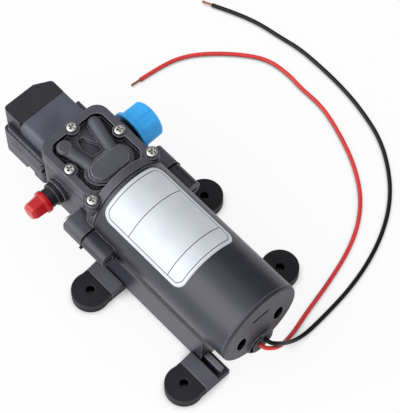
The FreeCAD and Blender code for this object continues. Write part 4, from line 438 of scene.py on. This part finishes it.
def pan_head_screw(seat, along, across, turn, head_r, head_h, shank_r, length):
    """Patches of one screw. The crown is a square grid squeezed into a disc, as high as the
    head where it is flat and falling to its rim as a fifth-power curve, less a cross with
    sloping walls. Below it a turned profile carries a thread that climbs with the angle."""
    arm_half, arm_reach, recess, wall_run, rim_share = 0.15, 0.6, 0.62, 0.05, 0.3
    plain_neck, plain_tip, end_step = 0.001, 0.0012, 0.0004
    third = np.cross(along, across)
    steps = np.sin(np.linspace(-np.pi / 2, np.pi / 2, 41))
    u, v = np.meshgrid(steps, steps, indexing="ij")
    x, y = u * np.sqrt(1 - v**2 / 2), v * np.sqrt(1 - u**2 / 2)
    out = np.clip(np.hypot(x, y), 0, 1)

    def arm(narrow, long):
        """Share of the recess's depth: 1 in an arm of the cross, and 0 outside its walls."""
        return (np.clip((arm_half - np.abs(narrow)) / wall_run + 0.5, 0, 1)
                * np.clip((arm_reach - np.abs(long)) / wall_run + 0.5, 0, 1))

    cross = np.maximum(arm(u, v), arm(v, u))
    height = head_h * (rim_share + (1 - rim_share) * (1 - out**5) ** 0.4
                       - recess * cross * (1 - 0.4 * out))
    c, s = math.cos(turn), math.sin(turn)
    side, depth = head_r * (c * x - s * y), head_r * (s * x + c * y)
    crown = (seat + side[..., None] * across + depth[..., None] * third
             + height[..., None] * along)
    rim = np.concatenate([crown[:-1, 0], crown[-1, :-1], crown[:0:-1, -1], crown[0, :0:-1]])
    spoke = rim - seat - ((rim - seat) @ along)[:, None] * along
    spoke /= np.linalg.norm(spoke, axis=1)[:, None]
    angle = np.arctan2(spoke @ third, spoke @ across)
    threaded = np.linspace(plain_neck, length - plain_tip, thread_rings)
    down = np.r_[0, 0, end_step, threaded, length - end_step, length]
    wide = np.r_[head_r, shank_r, shank_r, np.full(thread_rings, shank_r), shank_r * 0.6, 0]
    cut = np.r_[0, 0, 0, np.full(thread_rings, thread_depth), 0, 0]
    wave = np.abs((down[:, None] / thread_pitch - angle / (2 * np.pi)) % 1 - 0.5) * 2
    reach = np.maximum(wide[:, None] - cut[:, None] * wave, 0)
    below = seat + reach[..., None] * spoke - down[:, None, None] * along
    return [(crown, False), (np.concatenate([rim[None], below]), True)]


nickel = metal("nickel plate", ink(240, 238, 233), 0.34, tarnish=0.12)
up, forward, sideways = np.array([0, 0, 1.0]), np.array([1.0, 0, 0]), np.array([0, 1.0, 0])
patches = []
for (x, y), turn in zip(head_screw_places, head_screw_turns):
    patches += pan_head_screw(np.array([x, y, cover_rim_z]), up, forward, turn, **cover_screw)
skinned("cover_screw_set", patches, "pump_body", nickel, ["head_screws"])
patches = []
for y, turn in ((ear_screw_y, 0.5), (-ear_screw_y, 1.2)):
    patches += pan_head_screw(np.array([ear_face_x, y, ear_screw_z]), -forward, sideways, turn,
                              **ear_screw)
skinned("ear_screw_set", patches, "pump_body", nickel, ["ear_screws"])


# ---------------------------------------------------------------- port fittings and caps
# Black nylon fittings are pushed into the crankcase bosses with a seal ring each. A soft blue
# polythene cap with grip ribs closes the inlet, and a harder red one with six flats the outlet.
black_nylon = moulded("black nylon", ink(34, 34, 40), ink(128, 129, 138), 0.38, wear_and_highlight=0.9,
                      ease=0.0006)
dress(black_nylon, "outlet_fitting", "inlet_fitting")
port_x, port_z = -0.0372, 0.031


def softened(profile, times=2):
    """A profile with its corners cut: each span keeps the points at a quarter and three quarters
    of its length, as often as asked, and the two ends stay."""
    line = np.array(profile, float)
    for _ in range(times):
        near, far = line[:-1] * 0.75 + line[1:] * 0.25, line[:-1] * 0.25 + line[1:] * 0.75
        line = np.concatenate([line[:1], np.stack([near, far], 1).reshape(-1, line.shape[1]),
                               line[-1:]])
    return line


def turned_cap(profile, section, sides=192):
    """Patch of a cap on the ports' axis. The profile gives place along Y, radius and share. At
    each place it makes a ring round the axis, from the cosine and the sine of the angle times
    what the section makes of radius, share and angle."""
    angle = np.linspace(0, 2 * np.pi, sides, endpoint=False)
    reach = section(profile[:, 1:2], profile[:, 2:3], angle[None])
    return np.stack([port_x + reach * np.cos(angle), np.broadcast_to(profile[:, :1], reach.shape),
                     port_z + reach * np.sin(angle)], -1)


def grip_ribs(radius, share, angle):
    """Radius raised by low ribs: the share times the rib's height times a cosine wave that is
    stretched and cut off flat above and below."""
    ribs, rib_height, stretch, lean = 8, 0.00055, 2.6, 0.7
    wave = np.clip(np.cos(ribs * angle) * stretch - lean, -1, 1) * 0.5 + 0.5
    return radius + share * rib_height * wave


def six_flats(radius, share, angle):
    """Radius of a circle that turns into a hexagon as the share goes to 1: there it is scaled
    by cos 30 degrees over the cosine of the angle from the flat's middle, and its corners are
    eased where that passes the limit."""
    side, corner_limit = np.pi / 3, 0.975
    turn = (angle % side) - side / 2
    flat = np.cos(side / 2) / np.cos(turn)
    return radius * (1 - share + share * np.minimum(flat, corner_limit))


blue_polythene = moulded("blue polythene", ink(52, 178, 255), ink(120, 208, 255), 0.36, wear_and_highlight=0.4,
                         cloud=0.05, crevice_shade=0.6, grain=900.0, ease=0.0005,
                         Subsurface_Weight=0.2, Subsurface_Scale=0.003,
                         Subsurface_Radius=(0.6, 0.8, 1.0))
red_polythene = moulded("red polythene", ink(188, 6, 20), ink(226, 60, 72), 0.24, wear_and_highlight=0.2,
                        cloud=0.03, crevice_shade=0.45, grain=900.0, depth=0.000006, ease=0.0005,
                        Subsurface_Weight=0.06, Subsurface_Scale=0.002)
blue_profile = softened([
    (0.0387, 0, 0), (0.0387, 0.0078, 0), (0.0385, 0.00835, 0), (0.0265, 0.00835, 0),
    (0.0262, 0.0086, 0), (0.0262, 0.0116, 0), (0.0264, 0.0118, 0), (0.0282, 0.0118, 0),
    (0.0284, 0.0115, 0), (0.0284, 0.0102, 0.2), (0.0290, 0.0101, 1), (0.0366, 0.0100, 1),
    (0.0384, 0.0101, 1), (0.0392, 0.0101, 0), (0.0404, 0.0090, 0), (0.0406, 0.0070, 0),
    (0.0406, 0, 0)])
skinned("blue_port_cap", [(turned_cap(blue_profile, grip_ribs), True)], "blue_cap",
        blue_polythene, ["inlet_cap"])
red_profile = softened([
    (0.03605, 0, 0), (0.03605, 0.0043, 0), (0.0296, 0.00435, 0), (0.0294, 0.0045, 0),
    (0.0294, 0.0059, 0), (0.0296, 0.0061, 0), (0.0315, 0.0061, 0), (0.0318, 0.0059, 0),
    (0.0319, 0.0056, 0.6), (0.0322, 0.0056, 1), (0.0380, 0.0052, 1), (0.0388, 0.0050, 1),
    (0.0401, 0.0039, 1), (0.0402, 0.0034, 1), (0.0402, 0, 1)]) * (-1, 1, 1)
skinned("red_port_cap", [(turned_cap(red_profile, six_flats), True)], "red_cap",
        red_polythene, ["outlet_cap"])


# ---------------------------------------------------------------- pressure switch
# Box on the front of the head: a charcoal base with two ridges, a dark grey cover with painted
# shade in the joint gaps at its two ends, and a black front cap clipped over it. Inside, a
# plunger between a rubber sheet and a coil spring works a microswitch.
cover_middle_x, cover_seam = -0.0633, 0.00955
grey_nylon = moulded("grey nylon", ink(76, 77, 91), ink(160, 162, 174), 0.42, wear_and_highlight=1.0,
                     cloud=0.25, ease=0.0007)
tree = grey_nylon.node_tree
# Painted shade: beyond the seams the cover's two ends are near black, like shadowed joint gaps.
along_cover = axes(tree, local_place(tree))["X"]
off_middle = calc(tree, "ABSOLUTE", calc(tree, "SUBTRACT", along_cover, cover_middle_x))
recolour(grey_nylon, calc(tree, "GREATER_THAN", off_middle, cover_seam), ink(14, 14, 17))
dress(grey_nylon, "switch_cover")
dress(black_nylon, "switch_front_cap", "microswitch")
dress(charcoal, "switch_base", "switch_water_block")
dress(seal_rubber, "switch_diaphragm")
dress(acetal, "switch_plunger")


def coil_spring(middle, low, high, radius, wire_r, turns=7):
    """Points on a coil spring with closed end turns. At turn t the wire's middle is at radius
    (cos 2 pi t, sin 2 pi t), and it climbs 2 wire_r in the first and the last turn and the
    same share of what is left in each turn between. The two ends are closed flat."""
    t = np.linspace(0, turns, 36 * turns + 1)
    climb = np.interp(t, [0, 1, turns - 1, turns],
                      [low + wire_r, low + 3 * wire_r, high - 3 * wire_r, high - wire_r])
    out = np.stack([np.cos(2 * math.pi * t), np.sin(2 * math.pi * t), 0 * t], -1)
    core = np.array(middle) + radius * out + np.stack([0 * t, 0 * t, climb], -1)
    a = np.linspace(0, 2 * math.pi, 10, endpoint=False)
    ring = (np.cos(a)[None, :, None] * out[:, None] +
            np.sin(a)[None, :, None] * np.array((0, 0, 1.0)))
    tube = core[:, None] + wire_r * ring
    ends = np.broadcast_to(core[[0, -1], None], (2, len(a), 3))
    return np.concatenate([ends[:1], tube, ends[1:]])


spring_middle, spring_low, spring_high = (-0.068, 0, 0), 0.0204, 0.0301
spring_coil = coil_spring(spring_middle, spring_low, spring_high, radius=0.0034, wire_r=0.00028)
spring = skinned("plunger_spring", [(spring_coil, True)], "pump_body", shaft_steel,
                 ["switch_spring"], sharp=60.0)
# Its top stays, and the plunger's 0.8 mm of travel leaves 0.9175 of its 9.7 mm.
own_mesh(spring)
dress(nickel, "switch_screws", "switch_mount_screws")


# ---------------------------------------------------------------- rubber feet
# Four feet, each a round lobe of matt black rubber round a screw hole, moulded on a charcoal
# nylon tongue that slopes up to the skirt and whose key slides in the slot under the housing.
lobe_black = ink(29, 29, 34)
tongue_edge_y, joint_y, joint_half, key_top_z = 0.0322, 0.0323, 0.00022, 0.0079
foot_rubber = moulded("foot rubber", lobe_black, ink(86, 86, 93), 0.6, wear_and_highlight=0.6, cloud=0.18,
                      grain=1500.0, depth=0.00003, ease=0.0009, gloss=0.3)
tree = foot_rubber.node_tree
foot_place = axes(tree, local_place(tree))
from_middle = calc(tree, "ABSOLUTE", foot_place["Y"])
on_tongue = calc(tree, "LESS_THAN", from_middle, tongue_edge_y)
# Painted highlight: the key's top is lighter, and a light line runs where the lobe meets the
# tongue.
key_top_highlight = calc(tree, "GREATER_THAN", foot_place["Z"], key_top_z)
joint_highlight_line = calc(tree, "COMPARE", from_middle, joint_y, joint_half)
tongue_tone = blend(tree, key_top_highlight, ink(78, 78, 87), ink(116, 116, 126))
two_tone = blend(tree, on_tongue, lobe_black, tongue_tone)
tree.links.new(blend(tree, joint_highlight_line, two_tone, ink(108, 108, 116)),
               finish_of(foot_rubber).inputs["Colour"])
dress(foot_rubber, "foot_front_left", "foot_front_right", "foot_rear_left", "foot_rear_right")


# ---------------------------------------------------------------- label
# Silver-white film stuck round the upper side of the sleeve, with rounded corners and a thin
# printed border and two rules. Its words are left out, and it stays bare inside the border.
label_x0, label_x1 = -0.0052, 0.0502
label_left, label_right = math.radians(-58), math.radians(44)
label_r, film_thick, label_corner = 0.0236, 0.000098, 0.006
label_tall = (label_right - label_left) * label_r


def curved_label():
    """Points of a sheet bent round the sleeve: at an angle from the top, Y is its radius times
    the sine, and Z the sleeve's middle and its radius times the cosine. Its rows run along the
    sleeve, and near the two long edges they start and end further in, on the corner's circle."""
    steps, corner_steps = 60, 14
    corner_rows = label_corner * (1 - np.cos(np.linspace(0, np.pi / 2, corner_steps)))
    bend = np.unique(np.concatenate([
        np.linspace(0, label_tall, steps), corner_rows, label_tall - corner_rows]))
    near = np.clip(label_corner - np.minimum(bend, label_tall - bend), 0, label_corner)
    inset = label_corner - np.sqrt(label_corner**2 - near**2)
    share = np.linspace(0, 1, steps)
    along = (label_x0 + inset)[:, None] + (label_x1 - label_x0 - 2 * inset)[:, None] * share
    turn = np.broadcast_to((label_left + bend / label_r)[:, None], along.shape)
    return np.stack([along, label_r * np.sin(turn), sleeve_z + label_r * np.cos(turn)], -1)


def label_film():
    """Metallised white film. Lines are where the distance to a shape on the unrolled label is
    under half their width: a rounded rectangle for the border, two spans for the rules."""
    material, tree, skin = new_material("label film")
    border, corner, half_line, rule_places = 0.0021, 0.0042, 0.00021, (0.0180, 0.0452)
    middle_x, middle_y = (label_x1 - label_x0) / 2, label_tall / 2
    place = add_node(tree, "ShaderNodeAttribute", attribute_name="label_place").outputs["Vector"]
    centred = calc_vector(tree, "SUBTRACT", place, (middle_x, middle_y, 0))
    folded = calc_vector(tree, "ABSOLUTE", centred)
    beyond = calc_vector(tree, "SUBTRACT", folded,
                         (middle_x - border - corner, middle_y - border - corner, 0))
    outside = calc_vector(tree, "MAXIMUM", beyond, (0, 0, 0))
    far = calc_vector(tree, "LENGTH", outside, output="Value")
    parts = axes(tree, beyond)
    within = calc(tree, "MINIMUM", calc(tree, "MAXIMUM", parts["X"], parts["Y"]), 0.0)
    edge = calc(tree, "SUBTRACT", calc(tree, "ADD", far, within), corner)
    border_line = calc(tree, "COMPARE", edge, 0.0, half_line)
    inside = calc(tree, "LESS_THAN", edge, 0.0)
    along = axes(tree, place)["X"]
    rules = (calc(tree, "COMPARE", along, rule_place, half_line) for rule_place in rule_places)
    rules = calc(tree, "MULTIPLY", calc(tree, "MAXIMUM", *rules), inside)
    printed = calc(tree, "MAXIMUM", rules, border_line)
    spots = noise(tree, place, 90.0, 3.0)
    film = blend(tree, spots, ink(192, 198, 208), ink(216, 219, 224))
    tree.links.new(blend(tree, printed, film, ink(48, 50, 56)), skin.inputs["Base Color"])
    tree.links.new(remap(tree, spots, 0.0, 1.0, 0.34, 0.5), skin.inputs["Roughness"])
    skin.inputs["Metallic"].default_value = 0.1
    return material


sticker = skinned("label_sticker", [(curved_label(), False)], "pump_body", label_film(),
                  ["label"])
spread = np.zeros(len(sticker.data.vertices) * 3)
sticker.data.vertices.foreach_get("co", spread)
spread = spread.reshape(-1, 3)
unrolled = np.stack([spread[:, 0] - label_x0,
                     (np.arctan2(spread[:, 1], spread[:, 2] - sleeve_z) - label_left) * label_r,
                     np.zeros(len(spread))], -1)
sticker.data.attributes.new("label_place", "FLOAT_VECTOR", "POINT").data.foreach_set(
    "vector", unrolled.astype(np.float32).ravel())
wall = sticker.modifiers.new("film thickness", "SOLIDIFY")
wall.thickness, wall.offset = film_thick, -1


# ---------------------------------------------------------------- leads
# Two limp PVC leads, one red and one black, come out of the grommet, drop to the ground and
# lie there in wide curves. Each ends in a few millimetres of bare twisted copper.
lead_r, strand_r, bare_length, strand_pitch = 0.0011, 0.00021, 0.006, 0.0085
red_route = [
    (0.0861, -0.0019, 0.0190), (0.0889, -0.0019, 0.0190), (0.0910, 0.0005, 0.0179),
    (0.0915, 0.0043, 0.0137), (0.0908, 0.0088, 0.0084), (0.0892, 0.0146, 0.0036)]
red_route += [(x, y, lead_r) for x, y in (
    (0.0878, 0.0208), (0.0846, 0.0330), (0.0806, 0.0520), (0.0747, 0.0723), (0.0671, 0.0872),
    (0.0569, 0.0990), (0.0437, 0.1080), (0.0301, 0.1143), (0.0138, 0.1197), (0.0030, 0.1217),
    (-0.0096, 0.1214), (-0.0195, 0.1226), (-0.0329, 0.1214), (-0.0436, 0.1152), (-0.0565, 0.1033),
    (-0.0664, 0.0900), (-0.0702, 0.0760), (-0.0713, 0.0628))]
black_route = [
    (0.0861, 0.0019, 0.0190), (0.0889, 0.0019, 0.0190), (0.0911, 0.0043, 0.0179),
    (0.0921, 0.0082, 0.0137), (0.0924, 0.0132, 0.0080), (0.0925, 0.0190, 0.0032)]
black_route += [(x, y, lead_r) for x, y in (
    (0.0926, 0.0260), (0.0917, 0.0419), (0.0901, 0.0574), (0.0864, 0.0740), (0.0802, 0.0904),
    (0.0710, 0.1057), (0.0588, 0.1182), (0.0412, 0.1297), (0.0202, 0.1355), (0.0031, 0.1378),
    (-0.0125, 0.1384), (-0.0274, 0.1382), (-0.0401, 0.1357), (-0.0534, 0.1336), (-0.0670, 0.1292),
    (-0.0800, 0.1232))]


def lead_sheath(name, route, material, node):
    """Round PVC sheath along a smooth spline whose control points are the lead's route."""
    curve = bpy.data.curves.new(name, "CURVE")
    curve.dimensions = "3D"
    line = curve.splines.new("NURBS")
    line.points.add(len(route) - 1)
    line.points.foreach_set("co", np.c_[route, np.ones(len(route))].ravel())
    line.order_u, line.use_endpoint_u, line.resolution_u = 3, True, 10
    curve.bevel_depth, curve.bevel_resolution, curve.use_fill_caps = lead_r, 5, True
    curve.materials.append(material)
    lead = bpy.data.objects.new(name, curve)
    bpy.context.scene.collection.objects.link(lead)
    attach(lead, "pump_body")
    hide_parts(node)
    return lead


def bare_strands(name, route, replaced):
    """Seven strands, one straight and six wound round it. Each is a circle carried along a
    helix whose radius grows with the square of the length, so that the tips part a little."""
    end, before = np.array(route[-1]), np.array(route[-2])
    along = (end - before) / np.linalg.norm(end - before)
    across = np.cross(along, up)
    rows, sides, touching, flare, stagger = 26, 8, 2.05, 0.45, 0.05
    share = np.linspace(-0.15, 1, rows)[:, None]
    around = np.linspace(0, 2 * np.pi, sides, endpoint=False)[None]
    wide = strand_r * np.r_[0, np.ones(rows - 2), 0][:, None]
    patches = []
    for k in range(7):
        parted = 1 + flare * np.clip(share, 0, 1) ** 2
        swing = 0.0 if k == 0 else touching * strand_r * parted
        turn = k * np.pi / 3 + 2 * np.pi * share * bare_length / strand_pitch
        reached = bare_length * (share - stagger * (k % 3) * np.clip(share, 0, 1))
        middle = (end + reached[..., None] * along + (swing * np.cos(turn))[..., None] * across
                  + (swing * np.sin(turn))[..., None] * up)
        tube = (middle + (wide * np.cos(around))[..., None] * across
                + (wide * np.sin(around))[..., None] * up)
        patches.append((tube, True))
    return skinned(name, patches, "pump_body", strand_copper, replaced, sharp=80)


red_pvc = moulded("red sheath", ink(226, 52, 52), ink(236, 110, 106), 0.38, wear_and_highlight=0.1, cloud=0.08,
                  grain=700.0, depth=0.00001)
black_pvc = moulded("black sheath", ink(20, 20, 23), ink(60, 60, 64), 0.4, wear_and_highlight=0.1, cloud=0.08,
                    grain=700.0, depth=0.00001, gloss=0.3)
strand_copper = metal("bare copper strand", ink(224, 158, 122), 0.3, tarnish=0.35)
red_strands = bare_strands("red_strands", red_route, ["lead_ends"])
black_strands = bare_strands("black_strands", black_route, ["lead_ends"])
red_lead = lead_sheath("red_sheath_lead", red_route, red_pvc, "lead_red")
black_lead = lead_sheath("black_sheath_lead", black_route, black_pvc,
                         "lead_black")
dress(red_pvc, "inner_leads_red")
dress(black_pvc, "inner_lead_black")


# ---------------------------------------------------------------- studio
# A plain pale table under the pump, even white light from all round and a wide soft lamp on
# the outlet side, and the camera that looks down on the motor's end.
def pale_table():
    """Flat table that the camera and reflections see as near white, with its soft shadow and a
    painted shadow that darkens it where the pump, feet and leads hem it in.
    """
    half, table_z, matt_white, own_light = 3.0, -0.0003, (0.86, 0.86, 0.86), 0.88
    mesh = bpy.data.meshes.new("table")
    mesh.from_pydata([(x * half, y * half, table_z)
                      for x, y in ((-1, -1), (1, -1), (1, 1), (-1, 1))], [], [(0, 1, 2, 3)])
    table = bpy.data.objects.new("table", mesh)
    bpy.context.scene.collection.objects.link(table)
    material, tree, skin = new_material("table white")
    tree.nodes.remove(skin)
    rays = add_node(tree, "ShaderNodeLightPath").outputs
    seen = calc(tree, "MAXIMUM", rays["Is Camera Ray"], rays["Is Glossy Ray"])
    seen = calc(tree, "MAXIMUM", seen, rays["Is Transmission Ray"])
    # Painted shadow: the table's glow and colour darken where it is hemmed in.
    open_sky = add_node(tree, "ShaderNodeAmbientOcclusion", {"Distance": 0.008}, samples=8)
    painted_shadow_level = remap(tree, open_sky.outputs["AO"], 0.15, 0.75, 0.0, 1.0)
    matt = add_node(tree, "ShaderNodeBsdfDiffuse",
                    {"Color": scaled(tree, matt_white, painted_shadow_level)})
    white = add_node(tree, "ShaderNodeEmission", {"Color": (1, 1, 1, 1), "Strength": painted_shadow_level})
    mixed = add_node(tree, "ShaderNodeMixShader", {
        0: calc(tree, "MULTIPLY", seen, own_light), 1: matt.outputs[0], 2: white.outputs[0]})
    tree.links.new(mixed.outputs[0], tree.nodes["Material Output"].inputs["Surface"])
    mesh.materials.append(material)


def white_room():
    """White world that lights evenly. Its reflection is bright overhead and on the outlet side
    and dim on the inlet side, and the camera itself sees it as plain white."""
    world = bpy.data.worlds.new("white room")
    bpy.context.scene.world = world
    world.use_nodes = True
    tree = world.node_tree
    rays = add_node(tree, "ShaderNodeLightPath").outputs
    outward = add_node(tree, "ShaderNodeTexCoord").outputs["Generated"]
    towards = calc_vector(tree, "DOT_PRODUCT", outward, (-0.3, -0.65, 0.7), output="Value")
    glow = remap(tree, towards, 0.3, 1.0, 0.1, 1.6)
    strength = remap(tree, rays["Is Glossy Ray"], 0.0, 1.0, 0.8, glow)
    strength = remap(tree, rays["Is Camera Ray"], 0.0, 1.0, strength, 1.0)
    background = tree.nodes["Background"]
    background.inputs["Color"].default_value = (1.0, 1.0, 1.0, 1.0)
    tree.links.new(strength, background.inputs["Strength"])


def soft_lamp(name, direction, distance, size, power):
    """Square lamp at that distance and direction from the pump's middle, turned towards it."""
    lamp = bpy.data.objects.new(name, bpy.data.lights.new(name, "AREA"))
    lamp.data.shape, lamp.data.size, lamp.data.energy = "SQUARE", size, power
    bpy.context.scene.collection.objects.link(lamp)
    aim, pump_middle = Vector(direction).normalized(), Vector((0, 0.01, 0.03))
    lamp.location = pump_middle + aim * distance
    lamp.rotation_mode = "QUATERNION"
    lamp.rotation_quaternion = aim.to_track_quat("Z", "Y")


pale_table()
white_room()
soft_lamp("key lamp", (-0.3, -0.8, 0.52), distance=1.1, size=1.2, power=9.0)

camera = bpy.data.objects.new("camera", bpy.data.cameras.new("camera"))
bpy.context.scene.collection.objects.link(camera)
bpy.context.scene.camera = camera
camera.data.lens, camera.data.clip_start, camera.data.clip_end = 156.9, 0.05, 10
azimuth, elevation, camera_distance = 0.8193748, 1.0870730, 0.88927
camera_target = Vector((0.01474, 0.02581, 0.025))
back = Vector((math.sin(azimuth) * math.cos(elevation), -math.cos(azimuth) * math.cos(elevation),
               math.sin(elevation)))
camera.location = camera_target + back * camera_distance
camera.rotation_mode = "QUATERNION"
camera.rotation_quaternion = back.to_track_quat("Z", "Y")
bpy.context.scene.view_settings.view_transform = "Standard"
